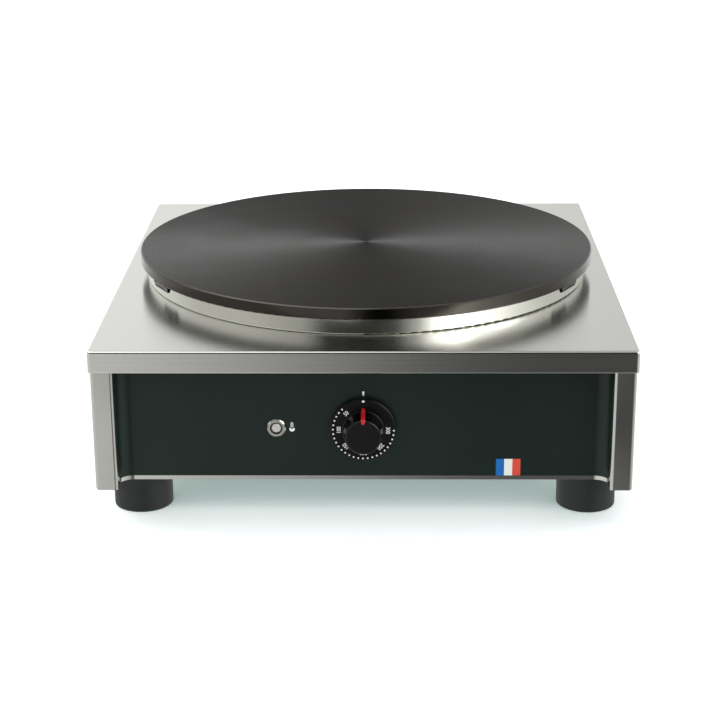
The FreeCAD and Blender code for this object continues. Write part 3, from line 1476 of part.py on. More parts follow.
def capillary_tube():
    """Thin tube from the bulb, down through the pan and forward to the thermostat."""
    level = (core_under - dim.bulbRadius).value
    drop = capillary_drop.value
    thermostat_top = (dim.dialHeight + dim.thermostatTall / 2).value
    run = thermostat_top + dim.capillaryRise.value
    arrival = (panel_back - dim.thermostatFlange - dim.thermostatDepth / 2).value
    points = [
        Vector(0, -bulb_front.value, level),
        Vector(0, -drop, level),
        Vector(0, -drop, run),
        Vector(0, -arrival, run),
        Vector(0, -arrival, thermostat_top),
    ]
    shape = tube(points, dim.capillaryBend.value, dim.capillaryRadius.value)
    return keep(shaped("capillary", shape), "thermostat_capillary")


def thermal_cutout():
    """Safety cut-out on the underside of the pan."""
    seat = (0, cutout_y, pan_under)
    disc = rod("cutout_disc", seat, (0, 0, -1), dim.cutoutRadius, dim.cutoutHeight)
    ear = dim.cutoutRadius * 2
    plate = block("cutout_plate", -ear, cutout_y - dim.cutoutRadius / 2,
                  pan_under - dim.panSheet, 2 * ear, dim.cutoutRadius, dim.panSheet)
    return keep(fuse("cutout_form", [disc, plate]), "thermal_cutout")


# Controls


def thermostat_body():
    """Capillary thermostat behind the front panel, with plate, bore and blades."""
    back = panel_back - dim.thermostatFlange
    z = dim.dialHeight
    case = block("thermostat_case", -dim.thermostatWidth / 2, -back, z - dim.thermostatTall / 2,
                 dim.thermostatWidth, dim.thermostatDepth, dim.thermostatTall)
    plate = block("thermostat_plate", -dim.thermostatFlangeWidth / 2, -panel_back,
                  z - dim.thermostatFlangeTall / 2, dim.thermostatFlangeWidth,
                  dim.thermostatFlange, dim.thermostatFlangeTall)
    blades = []
    blade_y = -back + dim.thermostatDepth
    for i in (-1, 0, 1):
        low_x = i * dim.thermostatWidth / 3 - dim.wireRadius
        low_z = z - dim.thermostatTall / 4
        blades.append(block("thermostat_blade", low_x, blade_y, low_z, 2 * dim.wireRadius,
                            dim.thermostatBladeLength, dim.panSheet))
    solid = fuse("thermostat_solid", [case, plate] + blades)
    bore = rod("thermostat_bore", (0, -panel_back, z), (0, 1, 0),
               dim.shaftRadius + dim.shaftRunningGap, dim.shaftSeat + dim.thermostatFlange)
    spread = dim.thermostatScrewSpacing / 2
    depth = dim.screwLength - t
    hole = dim.thermostatScrewRadius + dim.boltClearance
    left = rod("thermostat_tap", (-spread, -panel_back, z), (0, 1, 0), hole, depth)
    right = rod("thermostat_tap", (spread, -panel_back, z), (0, 1, 0), hole, depth)
    holes = fuse("thermostat_holes", [bore, left, right])
    return keep(cut("thermostat_form", solid, holes), "thermostat_body")


def thermostat_screws():
    """Two low screws through the panel, hidden behind the dial."""
    screws = []
    length = dim.screwLength - dim.boltClearance
    for side in (-1, 1):
        seat = (dim.thermostatScrewSpacing / 2 * side, -panel_face, dim.dialHeight)
        screws.append(screw("thermostat_screw", seat, (0, -1, 0), dim.thermostatScrewHead,
                            dim.thermostatHeadHeight, dim.thermostatScrewRadius, length))
    return keep(group("thermostat_screw_group", screws), "thermostat_screws")


def d_outline(sketch, radius, flat):
    """A circle with a flat above its centre."""
    r = size_of(radius).value
    f = size_of(flat).value
    reach = math.sqrt(r * r - f * f)
    right = math.atan2(f, reach)
    left = math.pi - right
    full = Part.Circle(Vector(), Vector(0, 0, 1), r)
    arc = Part.ArcOfCircle(full, left, right + 2 * math.pi)
    chord = Part.LineSegment(Vector(reach, f, 0), Vector(-reach, f, 0))
    sketch.addGeometry([arc, chord], False)
    sketch.addConstraint(Sketcher.Constraint("Coincident", 0, 2, 1, 1))
    sketch.addConstraint(Sketcher.Constraint("Coincident", 1, 2, 0, 1))
    sketch.addConstraint(Sketcher.Constraint("Coincident", 0, 3, -1, 1))
    sketch.addConstraint(Sketcher.Constraint("Horizontal", 1))
    fix_radius(sketch, 0, radius)
    size = size_of(flat)
    made = sketch.addConstraint(Sketcher.Constraint("DistanceY", -1, 1, 1, 1, size.value))
    sketch.setExpression("Constraints[%d]" % made, size.text)


def thermostat_shaft():
    """Shaft from inside the thermostat to inside the grip, with a flat on its front half."""
    body = new_body("thermostat_shaft_body")
    back = dial_front - panel_back + dim.thermostatFlange + dim.shaftSeat
    round_part = sketch_on(body, "XY_Plane", "shaft_round", -back)
    circle(round_part, 0, 0, dim.shaftRadius)
    hub_back = dim.gripHubLength
    pad(body, round_part, back - hub_back, "shaft_journal")
    flat_part = sketch_on(body, "XY_Plane", "shaft_d", -hub_back)
    d_outline(flat_part, dim.shaftRadius, dim.shaftFlat)
    pad(body, flat_part, hub_back + dim.shaftReach, "shaft_flatted")
    place(body, 0, -dial_front, dim.dialHeight, FACING_FRONT)
    return keep(body, "thermostat_shaft")


def knob_dial():
    """Thin dial disc that turns with the grip."""
    body = new_body("knob_dial_body")
    inner = dim.gripHubRadius + dim.gripHubGap
    solid = revolve(body, [
        (inner, -dim.dialThickness),
        (dim.dialRadius, -dim.dialThickness),
        (dim.dialRadius, 0),
        (inner, 0),
    ], "dial_turned")
    rim = level_edges(solid, 0, dim.dialRadius)
    round_edges(body, solid, rim, dim.dialEdgeChamfer, "dial_bevel", "PartDesign::Chamfer")
    place(body, 0, -dial_front, dim.dialHeight, FACING_FRONT)
    return keep(body, "knob_dial")


def knob_pointer():
    """Red insert let into the top of the grip, from the dial to the grip's face."""
    body = new_body("knob_pointer_body")
    radius = dim.pointerWidth / 2
    start = dim.pointerEndGap + radius
    end = (dim.gripLength - dim.pointerEndGap) / cosine(dim.pointerTilt) - radius
    outline = sketch_on(body, "XY_Plane", "pointer_outline")
    slot(outline, (0, -start), (0, -end), radius)
    solid = pad(body, outline, dim.pointerThickness, "pointer_bar", down=True)
    place(body, 0, -dial_front, dim.dialHeight + dim.pointerFootRadius,
          Rotation(Vector(1, 0, 0), dim.pointerTilt.value))
    bind(body, "Placement.Rotation.Angle", dim.pointerTilt)
    return keep(body, "knob_pointer")


def knob_grip(pointer):
    """Moulded conical grip with a base rim, a hub for the shaft and a seat for the pointer."""
    body = new_body("knob_grip_body")
    solid = revolve(body, [
        (0, -dim.gripHubLength),
        (dim.gripHubRadius, -dim.gripHubLength),
        (dim.gripHubRadius, 0),
        (dim.gripBaseRadius, 0),
        (dim.gripBaseRadius, dim.gripRimHeight),
        (dim.gripFootRadius, dim.gripRimHeight),
        (dim.gripFaceRadius, dim.gripLength),
        (0, dim.gripLength),
    ], "grip_turned")
    rim = level_edges(solid, dim.gripRimHeight, dim.gripBaseRadius)
    solid = round_edges(body, solid, rim, dim.gripRimFillet, "grip_rim_edge")
    face = level_edges(solid, dim.gripLength, dim.gripFaceRadius)
    round_edges(body, solid, face, dim.gripFaceFillet, "grip_face_edge")
    bore = sketch_on(body, "XY_Plane", "grip_bore_outline", -dim.gripHubLength)
    gap = dim.shaftRunningGap
    d_outline(bore, dim.shaftRadius + gap, dim.shaftFlat + gap)
    depth = dim.gripHubLength + dim.shaftReach + gap
    pocket(body, bore, depth, "grip_bore", up=True)
    place(body, 0, -dial_front, dim.dialHeight, FACING_FRONT)
    return keep(cut("knob_grip_form", body, pointer), "knob_grip")


def pilot_lamp():
    """Pilot lamp: bright bezel, clear lens, lamp body behind it and its nut."""
    x = -dim.pilotOffset
    z = dim.pilotHeight
    lens_bore = dim.pilotLensRadius + dim.pilotLensGap
    well_floor = dim.pilotFlangeHeight - dim.pilotWellDepth
    bevel = dim.pilotBevel
    bezel = new_body("pilot_bezel_body")
    revolve(bezel, [
        (lens_bore, -dim.pilotBarrelLength),
        (dim.pilotBarrelRadius, -dim.pilotBarrelLength),
        (dim.pilotBarrelRadius, 0),
        (dim.pilotFlangeRadius, 0),
        (dim.pilotFlangeRadius, dim.pilotFlangeHeight - bevel),
        (dim.pilotFlangeRadius - bevel, dim.pilotFlangeHeight),
        (dim.pilotWellRadius, dim.pilotFlangeHeight),
        (dim.pilotWellRadius, well_floor),
        (lens_bore, well_floor),
    ], "bezel_turned")
    place(bezel, x, -film_face, z, FACING_FRONT)
    keep(bezel, "pilot_bezel")

    lens = new_body("pilot_lens_body")
    rim_height = dim.pilotFlangeHeight - dim.pilotLensDome / 2
    revolve(lens, [
        (0, -dim.pilotLensSeat),
        (dim.pilotLensRadius, -dim.pilotLensSeat),
        (dim.pilotLensRadius, rim_height),
        (dim.pilotLensRadius / 2, rim_height + dim.pilotLensDome),
        (0, rim_height + dim.pilotLensDome),
    ], "lens_turned")
    place(lens, x, -film_face, z, FACING_FRONT)
    keep(lens, "pilot_lens")

    seat = (x, -film_face + dim.pilotLensSeat, z)
    length = dim.pilotBodyLength
    keep(rod("pilot_lamp_body", seat, (0, 1, 0), dim.pilotLensRadius, length), "pilot_body")
    nut = hex_nut("pilot_lock_nut", (x, -panel_back, z), (0, 1, 0), dim.pilotNutFlats,
                  dim.pilotNutHeight, dim.pilotBarrelRadius + dim.shaftRunningGap)
    keep(nut, "pilot_nut")


# Supply


def cable_gland():
    """Gland for the supply cable in the rear panel, with a hexagon, a cap and a lock nut."""
    x = -gland_x
    z = dim.glandHeight
    body = new_body("cable_gland_body")
    hexagon = sketch_on(body, "XY_Plane", "gland_hexagon_outline")
    corner = dim.glandFlats / 2 / cosine(30)
    polygon(hexagon, [(corner * cosine(60 * i), corner * sine(60 * i)) for i in range(6)])
    pad(body, hexagon, dim.glandHexHeight, "gland_hexagon")
    bore = dim.glandBoreRadius
    mouth = dim.glandHexHeight + dim.glandDomeLength
    revolve(body, [
        (bore, -dim.glandBarrelLength),
        (dim.glandBarrelRadius, -dim.glandBarrelLength),
        (dim.glandBarrelRadius, dim.glandHexHeight),
        (dim.glandDomeFoot, dim.glandHexHeight),
        (dim.glandDomeFoot, mouth - (dim.glandDomeFoot - dim.glandDomeTip)),
        (dim.glandDomeTip, mouth),
        (bore, mouth),
    ], "gland_turned")
    through = sketch_on(body, "XY_Plane", "gland_bore_outline", mouth)
    circle(through, 0, 0, bore)
    pocket(body, through, mouth + dim.glandBarrelLength, "gland_bore")
    place(body, x, panel_face, z, FACING_REAR)
    keep(body, "cable_gland")
    nut = hex_nut("gland_lock_nut", (x, panel_back, z), (0, -1, 0), dim.glandFlats,
                  dim.glandNutHeight, dim.glandBarrelRadius + dim.shaftRunningGap)
    keep(nut, "gland_nut")


def terminal_block():
    """Three-way supply terminal block on the bottom plate, and its screws."""
    low_x = -block_x - dim.blockLength / 2
    low_y = block_y - dim.blockWidth / 2
    solid = block("terminal_solid", low_x, low_y, bottom_top, dim.blockLength, dim.blockWidth,
                  dim.blockHeight)
    holes = []
    z = bottom_top + dim.blockWireHeight
    for i in (-1, 0, 1):
        x = -block_x + dim.blockWirePitch * i
        holes.append(rod("terminal_wire_hole", (x, low_y, z), (0, 1, 0), dim.blockWireRadius,
                         dim.blockWidth))
    fixing_x = dim.blockWirePitch / 2
    screw_hole = dim.screwRadius + dim.holeClearance
    screws = []
    for i in (-1, 1):
        x = -block_x + fixing_x * i
        top = bottom_top + dim.blockHeight
        holes.append(rod("terminal_fixing_hole", (x, block_y, bottom_top), (0, 0, 1),
                         screw_hole, dim.blockHeight))
        screws.append(screw("terminal_screw", (x, block_y, top), (0, 0, 1),
                            dim.screwHeadRadius, dim.screwHeadHeight, dim.screwRadius,
                            dim.blockHeight))
    keep(cut("terminal_form", solid, fuse("terminal_holes", holes)), "terminal_block")
    keep(group("terminal_screw_group", screws), "terminal_block_screws")


def earth_stud():
    """Welded earth stud on the bottom plate with its nut."""
    x = -earth_x
    y = block_y
    stud = rod("earth_pin", (x, y, bottom_top), (0, 0, 1), dim.coverStudRadius,
               dim.earthStudLength)
    nut = hex_nut("earth_nut", (x, y, bottom_top), (0, 0, 1), dim.coverNutFlats,
                  dim.coverNutHeight, dim.coverStudRadius + dim.shaftRunningGap)
    return keep(group("earth_group", [stud, nut]), "earth_stud")


def internal_wires():
    """Insulated wires: supply, switched live, neutral, two jumpers and the earth."""
    gap = dim.wireEndGap
    block_z = bottom_top + dim.blockWireHeight
    wire_y = block_y - dim.blockWidth / 2 + dim.wireGrip
    holes = [-block_x + dim.blockWirePitch * i for i in (-1, 0, 1)]
    blade_x = dim.thermostatWidth / 3
    blade_z = dim.dialHeight - dim.thermostatTall / 4 + dim.panSheet / 2
    blades = -panel_back + dim.thermostatFlange + dim.thermostatDepth + dim.thermostatBladeLength
    blade_end = blades + gap
    outer_x, outer_y = coil_leg_spots(outer_coil, dim.outerCoilOpening)[0]
    inner_x, inner_y = coil_leg_spots(inner_coil, dim.innerCoilOpening)[0]
    pins = element_level - dim.elementBendRadius - dim.elementLegLength - dim.terminalPinLength
    pin_end = pins - gap
    lane_y = blade_end + dim.wireLaneGap
    near_y = outer_y + dim.wireRise
    loop_z = pin_end - dim.wireLoop
    jump_z = pin_end - dim.wireJumper
    jump_y = outer_y + dim.wireRadius + gap
    stud_y = block_y - dim.coverStudRadius - gap
    turn_y = wire_y - dim.wireEarthReach
    routes = [
        [(holes[1], wire_y, block_z), (holes[1], lane_y, block_z), (-blade_x, lane_y, block_z),
         (-blade_x, lane_y, blade_z), (-blade_x, blade_end, blade_z)],
        [(blade_x, blade_end, blade_z), (outer_x, outer_y, blade_z), (outer_x, outer_y, pin_end)],
        [(holes[2], wire_y, block_z), (holes[2], near_y, block_z), (-outer_x, near_y, block_z),
         (-outer_x, near_y, loop_z), (-outer_x, outer_y, loop_z), (-outer_x, outer_y, pin_end)],
        [(inner_x, inner_y, pin_end), (inner_x, inner_y, jump_z), (outer_x, jump_y, jump_z)],
        [(-inner_x, inner_y, pin_end), (-inner_x, inner_y, jump_z), (-outer_x, jump_y, jump_z)],
        [(holes[0], wire_y, block_z), (holes[0], turn_y, block_z),
         (-earth_x, turn_y, block_z), (-earth_x, stud_y, block_z)],
    ]
    wires = []
    for route in routes:
        points = [Vector(*[size_of(step).value for step in spot]) for spot in route]
        wires.append(shaped("wire", tube(points, dim.wireBend.value, dim.wireRadius.value)))
    return keep(group("wire_group", wires), "internal_wires")


def build():
    """Make every sub-part."""
    top_cover()
    ring_collar()
    ring_rivets()
    mirrored(side_panel(), "left_side_panel", Vector(1, 0, 0))
    front_panel()
    front_overlay()
    rear_panel()
    rear_panel_screws()
    bottom_plate()
    bottom_plate_screws()
    corner_brackets()
    cover_studs()
    feet()
    foot_fasteners()
    griddle_plate()
    plate_posts()
    plate_bolts()
    reflector_pan()
    insulation_pad()
    support_bar("support_bar_front", -1)
    support_bar("support_bar_rear", 1)
    mirrored(bar_rail(), "left_bar_rail", Vector(1, 0, 0))
    bar_rivets()
    heating_element("outer_heating_element", outer_coil, dim.outerCoilOpening)
    heating_element("inner_heating_element", inner_coil, dim.innerCoilOpening)
    terminal_pins()
    element_clamps()
    clamp_fasteners()
    thermostat_bulb()
    bulb_clip()
    capillary_tube()
    thermal_cutout()
    thermostat_body()
    thermostat_screws()
    thermostat_shaft()
    knob_dial()
    knob_grip(knob_pointer())
    pilot_lamp()
    cable_gland()
    terminal_block()
    earth_stud()
    internal_wires()
    doc.recompute()


def check_and_write():
    """Stop on any failed object or bad shape, then write one file for each sub-part."""
    failed = [item.Name for item in doc.Objects if {"Invalid", "Error"} & set(item.State)]
    if failed:
        raise ValueError("these objects failed: " + ", ".join(failed))
    labels = [item.Label for item in parts]
    if len(set(labels)) != len(labels):
        raise ValueError("two sub-parts share a name")
    for item in parts:
        if item.Shape.isNull() or not item.Shape.isValid():
            raise ValueError(item.Label + " has no valid shape")
    os.makedirs("parts", exist_ok=True)
    for item in parts:
        item.Shape.exportStep("parts/%s.step" % item.Label)
        print("%-28s %2d solids %12.1f mm3" % (item.Label, len(item.Shape.Solids),
                                               item.Shape.Volume))


build()
check_and_write()
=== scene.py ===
import bpy
import math
import numpy as np
from mathutils import Matrix


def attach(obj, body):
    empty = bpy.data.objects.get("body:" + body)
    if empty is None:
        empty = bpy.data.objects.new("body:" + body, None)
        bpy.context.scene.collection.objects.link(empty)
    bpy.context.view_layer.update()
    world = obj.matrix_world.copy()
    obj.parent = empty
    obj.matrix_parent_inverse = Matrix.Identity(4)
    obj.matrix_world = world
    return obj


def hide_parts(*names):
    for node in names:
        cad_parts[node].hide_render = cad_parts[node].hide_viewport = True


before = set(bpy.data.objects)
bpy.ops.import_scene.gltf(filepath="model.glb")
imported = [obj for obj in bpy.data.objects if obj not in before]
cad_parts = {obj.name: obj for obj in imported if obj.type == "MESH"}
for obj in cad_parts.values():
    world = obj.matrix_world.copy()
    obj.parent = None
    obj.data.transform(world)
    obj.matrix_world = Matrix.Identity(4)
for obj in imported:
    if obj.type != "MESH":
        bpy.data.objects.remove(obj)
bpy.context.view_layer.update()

# ---- Top cover -------------------------------------------------------------------------------
# A stainless tray turned upside down over the case: flat top with a round opening and a short
# skirt all round, folded from one belt-brushed sheet whose grain runs from left to right.


def srgb(code):
    """Linear RGBA of an sRGB hex colour: each channel goes through the sRGB transfer curve."""
    channels = [int(code[i:i + 2], 16) / 255 for i in (1, 3, 5)]
    linear = [c / 12.92 if c <= 0.04045 else ((c + 0.055) / 1.055) ** 2.4 for c in channels]
    return (*linear, 1.0)


def add_node(tree, kind, links=None, inputs=None, **settings):
    """One node with its settings, its input values and its incoming links {input: socket}."""
    node = tree.nodes.new("ShaderNode" + kind)
    for name, value in settings.items():
        setattr(node, name, value)
    for name, value in (inputs or {}).items():
        node.inputs[name].default_value = value
    for name, socket in (links or {}).items():
        tree.links.new(socket, node.inputs[name])
    return node


def new_finish(name, colour, metallic, roughness, **sockets):
    """A material with one Principled shader. Returns the material, its tree and the shader."""
    material = bpy.data.materials.new(name)
    material.use_nodes = True
    tree = material.node_tree
    tree.nodes.clear()
    shader = add_node(tree, "BsdfPrincipled")
    shader.inputs["Base Color"].default_value = srgb(colour)
    shader.inputs["Metallic"].default_value = metallic
    shader.inputs["Roughness"].default_value = roughness
    for socket, value in sockets.items():
        shader.inputs[socket.replace("_", " ")].default_value = value
    add_node(tree, "OutputMaterial", {"Surface": shader.outputs[0]})
    return material, tree, shader


def dress(material, *names):
    """Gives CAD nodes this material in all their material slots."""
    for name in names:
        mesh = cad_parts[name].data
        mesh.materials.clear()
        mesh.materials.append(material)
        mesh.polygons.foreach_set("material_index", np.zeros(len(mesh.polygons), dtype=np.int32))


def per_metre(size_mm):
    """Texture scale, in cells to the metre, of a pattern whose cells are size_mm across."""
    return 1000.0 / size_mm


def object_noise(tree, cells, **inputs):
    """Noise in the piece's own coordinates, with this many cells to the metre."""
    place = add_node(tree, "TexCoord")
    return add_node(tree, "TexNoise", {"Vector": place.outputs["Object"]},
                    {"Scale": cells, **inputs})


def shade(colour, factor):
    """Linear RGBA of a hex colour made darker or lighter by a factor, never above white."""
    return (*[min(1.0, c * factor) for c in srgb(colour)[:3]], 1.0)


def tones(tree, shader, pattern, first, second, start=0.0, end=1.0):
    """The base colour runs between two colours while a pattern's output goes start to end."""
    ramp = add_node(tree, "ValToRGB", {"Fac": pattern})
    ramp.color_ramp.elements[0].position = start
    ramp.color_ramp.elements[0].color = first
    ramp.color_ramp.elements[1].position = end
    ramp.color_ramp.elements[1].color = second
    tree.links.new(ramp.outputs[0], shader.inputs["Base Color"])


def gloss(tree, shader, pattern, low, high):
    """The roughness runs from low to high with a pattern's output."""
    spread = add_node(tree, "MapRange", {"Value": pattern}, {"To Min": low, "To Max": high})
    tree.links.new(spread.outputs[0], shader.inputs["Roughness"])


def relief(tree, shader, pattern, strength, depth_mm):
    """A bump that is depth_mm high where a pattern's output is 1."""
    bump = add_node(tree, "Bump", {"Height": pattern},
                    {"Strength": strength, "Distance": depth_mm / 1000.0})
    tree.links.new(bump.outputs[0], shader.inputs["Normal"])


def round_axis(tree, shader, axis):
    """The gloss's tangent goes round one axis of the piece."""
    turn = add_node(tree, "Tangent", direction_type="RADIAL", axis=axis)
    tree.links.new(turn.outputs[0], shader.inputs["Tangent"])


def brushed_sheet(name, colour, roughness, along, across_mm=0.6, length_mm=160.0):
    """Belt-brushed 304 sheet: streaks as long as length_mm and across_mm wide, along one axis.

    The real scratches are about 0.05 mm wide, too fine to show, so they are drawn coarser.
    The gloss spreads across the grain, which is the tangent's direction round that axis.
    """
    material, tree, shader = new_finish(name, colour, 1.0, roughness, Anisotropic=0.7)
    place = add_node(tree, "TexCoord")
    scale = [per_metre(across_mm)] * 3
    scale["XYZ".index(along)] = per_metre(length_mm)
    stretch = add_node(tree, "Mapping", {"Vector": place.outputs["Object"]}, {"Scale": scale})
    streak = add_node(tree, "TexNoise", {"Vector": stretch.outputs[0]},
                      {"Scale": 1.0, "Detail": 3.0, "Roughness": 0.6}).outputs["Fac"]
    tones(tree, shader, streak, shade(colour, 0.95), shade(colour, 1.03), 0.3, 0.7)
    gloss(tree, shader, streak, roughness - 0.03, roughness + 0.03)
    relief(tree, shader, streak, 0.05, 0.04)
    round_axis(tree, shader, along)
    return material


cover_steel = brushed_sheet("brushed_304_cover", "#DCDCD7", 0.19, "X")
dress(cover_steel, "top_cover")

# ---- Ring collar -----------------------------------------------------------------------------
# A band of the same stainless sheet, rolled into a hoop and buffed, with a foot flange that six
# rivets hold to the cover. It lies in the griddle's shade and mirrors the bright cover.

LINES_TO_METRE = 1400.0
LINE_WANDER = 8.0


def rolled_band(name, colour, roughness):
    """Rolled and buffed stainless: fine lines round the hoop, 0.7 mm high.

    They come from noise on height, which wanders LINE_WANDER times to the metre of length.
    """
    material, tree, shader = new_finish(name, colour, 1.0, roughness, Anisotropic=0.5,
                                        Anisotropic_Rotation=0.25)
    place = add_node(tree, "TexCoord")
    squeeze = add_node(tree, "Mapping", {"Vector": place.outputs["Object"]},
                       {"Scale": (LINE_WANDER, LINE_WANDER, LINES_TO_METRE)})
    lines = add_node(tree, "TexNoise", {"Vector": squeeze.outputs[0]},
                     {"Scale": 1.0, "Detail": 2.0}).outputs["Fac"]
    gloss(tree, shader, lines, roughness - 0.05, roughness + 0.05)
    relief(tree, shader, lines, 0.1, 0.05)
    round_axis(tree, shader, "Z")
    return material


ring_steel = rolled_band("buffed_304_ring", "#E2E2DA", 0.13)
dress(ring_steel, "ring_collar")

# ---- Case sheets -----------------------------------------------------------------------------
# Left and right sides, each with flanges folded at the front and back, and the recessed front
# and rear panels between them. Same sheet, with its grain along each panel's long direction.

side_steel = brushed_sheet("brushed_304_side", "#D2D2CC", 0.19, "Y")
dress(side_steel, "left_side_panel", "right_side_panel")
panel_steel = brushed_sheet("brushed_304_panel", "#DFDFDA", 0.17, "X")
dress(panel_steel, "front_panel", "rear_panel")

# ---- Bottom and inner sheet metal ------------------------------------------------------------
# Zinc-plated mild steel pressings: the bottom plate with its slots, the corner brackets, the
# bars and rails that carry the griddle, the posts, the clamp bars and the bulb's clip.

CRYSTALS_TO_METRE = 330.0


def zinc_plate(name, colour, roughness):
    """Zinc-plated steel: cool grey with faint crystal patches some 3 mm across."""
    material, tree, shader = new_finish(name, colour, 1.0, roughness)
    place = add_node(tree, "TexCoord")
    patches = add_node(tree, "TexVoronoi", {"Vector": place.outputs["Object"]},
                       {"Scale": CRYSTALS_TO_METRE})
    tones(tree, shader, patches.outputs["Color"], shade(colour, 0.82), shade(colour, 1.1))
    haze = object_noise(tree, cells=900.0, Detail=3.0).outputs["Fac"]
    gloss(tree, shader, haze, roughness - 0.08, roughness + 0.08)
    relief(tree, shader, haze, 0.15, 0.05)
    return material


zinc_sheet = zinc_plate("zinc_plated_sheet", "#A9ACAD", 0.38)
zinc_fixing = zinc_plate("zinc_plated_fixings", "#B4B5B2", 0.30)
dress(zinc_sheet, "bottom_plate", "corner_bracket_front_left", "corner_bracket_front_right",
      "corner_bracket_rear_left", "corner_bracket_rear_right", "support_bar_front",
      "support_bar_rear", "left_bar_rail", "right_bar_rail", "plate_posts", "element_clamps",
      "bulb_clip")
dress(zinc_fixing, "ring_rivets", "rear_panel_screws", "bottom_plate_screws", "cover_studs",
      "cover_nuts", "foot_bolts", "foot_nuts", "plate_bolts", "bar_rivets", "clamp_studs",
      "clamp_nuts", "bulb_clip_screw", "thermostat_screws", "pilot_nut",
      "terminal_block_screws")

# ---- Front film ------------------------------------------------------------------------------
# A dark blue-green polyester film bonded to the front panel and round its curved ends, stopping
# short of the lower edge so that a bright strip of steel shows. Its face has a fine satin grain.

film_finish, film_tree, film_shader = new_finish("satin_polyester_film", "#14241F", 0.0, 0.36,
                                                 Specular_IOR_Level=0.35)
film_cloud = object_noise(film_tree, cells=14.0, Detail=2.0).outputs["Fac"]
tones(film_tree, film_shader, film_cloud, srgb("#12221D"), srgb("#162621"), 0.35, 0.65)
film_grain = object_noise(film_tree, cells=2600.0, Detail=2.0).outputs["Fac"]
relief(film_tree, film_shader, film_grain, 0.15, 0.04)
dress(film_finish, "front_overlay")

# ---- Printing on the film --------------------------------------------------------------------
# Screen-printed white ink: the index mark over the dial and a small thermometer sign beside the
# pilot lamp. The striped label at the lower right is printed vinyl, stuck on.

FILM_FACE = -0.21155
INK_LIFT = 0.00006

ink_white, ink_tree, ink_shader = new_finish("white_screen_ink", "#FBFBF9", 0.0, 0.55)
ink_grain = object_noise(ink_tree, cells=3000.0, Detail=2.0).outputs["Fac"]
relief(ink_tree, ink_shader, ink_grain, 0.2, 0.02)


def new_piece(name, mesh, material):
    """An object at the origin for a mesh that is already in its place, in one material."""
    mesh.materials.clear()
    mesh.materials.append(material)
    piece = bpy.data.objects.new(name, mesh)
    bpy.context.scene.collection.objects.link(piece)
    return piece


def flat_piece(name, outlines, depth, material, body):
    """Flat pieces in one plane y = depth that face the front.

    Each outline is an (n, 2) array of x and z in metres, counter-clockwise seen from the front,
    and is filled as a fan about its mean point.
    """
    points, faces = [], []
    for outline in outlines:
        first = sum(len(p) for p in points)
        middle = outline.mean(axis=0, keepdims=True)
        flat = np.vstack([middle, outline])
        points.append(np.column_stack([flat[:, 0], np.full(len(flat), depth), flat[:, 1]]))
        ring = np.arange(len(outline))
        after = np.roll(ring, -1)
        fan = np.column_stack([np.zeros_like(ring), ring + 1, after + 1]) + first
        faces += fan.tolist()
    mesh = bpy.data.meshes.new(name)
    mesh.from_pydata(np.vstack(points).tolist(), [], faces)
    piece = new_piece(name, mesh, material)
    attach(piece, body)
    return piece


def ellipse(x, z, across, up, start=0.0, end=360.0, steps=24):
    """Points of an elliptical arc: centre plus (across cos a, up sin a) for a from start to end."""
    whole = end - start >= 360.0
    angle = np.radians(np.linspace(start, end, steps, endpoint=not whole))
    return np.column_stack([x + across * np.cos(angle), z + up * np.sin(angle)])


INDEX_FOOT = 0.1019
INDEX_TOP = 0.1057
INDEX_FOOT_HALF = 0.0004
INDEX_TOP_HALF = 0.00095
index_mark = np.array([[-INDEX_FOOT_HALF, INDEX_FOOT], [INDEX_FOOT_HALF, INDEX_FOOT],
                       [INDEX_TOP_HALF, INDEX_TOP], [-INDEX_TOP_HALF, INDEX_TOP]])
flat_piece("dial_index_mark", [index_mark], FILM_FACE - INK_LIFT, ink_white, "housing")

SIGN_X = -0.0572
STEM_RADIUS = 0.00125
STEM_TOP = 0.0785
STEM_FOOT = 0.0751
BULB_HEIGHT = 0.0737
BULB_ACROSS = 0.0022
BULB_UP = 0.0021
BULB_NOTCH = 0.0736
stem_grey, stem_tree, stem_shader = new_finish("grey_screen_ink", "#AEBBB6", 0.0, 0.55)
stem_grain = object_noise(stem_tree, cells=2500.0).outputs["Fac"]
gloss(stem_tree, stem_shader, stem_grain, 0.45, 0.65)
stem = np.vstack([ellipse(SIGN_X, STEM_TOP, STEM_RADIUS, STEM_RADIUS, 0, 180, 14),
                  [[SIGN_X - STEM_RADIUS, STEM_FOOT], [SIGN_X + STEM_RADIUS, STEM_FOOT]]])
flat_piece("thermometer_sign_stem", [stem], FILM_FACE - INK_LIFT, stem_grey, "housing")
bulb = np.vstack([ellipse(SIGN_X, BULB_HEIGHT, BULB_ACROSS, BULB_UP, -215, 35, 26),
                  [[SIGN_X, BULB_NOTCH]]])
flat_piece("thermometer_sign_bulb", [bulb], FILM_FACE - INK_LIFT, ink_white, "housing")

LABEL_LEFT = 0.1064
LABEL_RIGHT = 0.1261
LABEL_FOOT = 0.0337
LABEL_TOP = 0.0480
WHITE_BAND = 0.335
RED_BAND = 0.665
label_vinyl, label_tree, label_shader = new_finish("printed_vinyl_label", "#FAFDF7", 0.0, 0.3)
label_place = add_node(label_tree, "TexCoord")
label_split = add_node(label_tree, "SeparateXYZ", {"Vector": label_place.outputs["Object"]})
label_across = add_node(label_tree, "MapRange", {"Value": label_split.outputs["X"]},
                        {"From Min": LABEL_LEFT, "From Max": LABEL_RIGHT})
label_bands = add_node(label_tree, "ValToRGB", {"Fac": label_across.outputs[0]})
label_bands.color_ramp.interpolation = "CONSTANT"
label_bands.color_ramp.elements[0].color = srgb("#0C70C2")
label_bands.color_ramp.elements[1].position = WHITE_BAND
label_bands.color_ramp.elements[1].color = srgb("#FAFDF7")
label_bands.color_ramp.elements.new(RED_BAND).color = srgb("#E9523D")
label_tree.links.new(label_bands.outputs[0], label_shader.inputs["Base Color"])
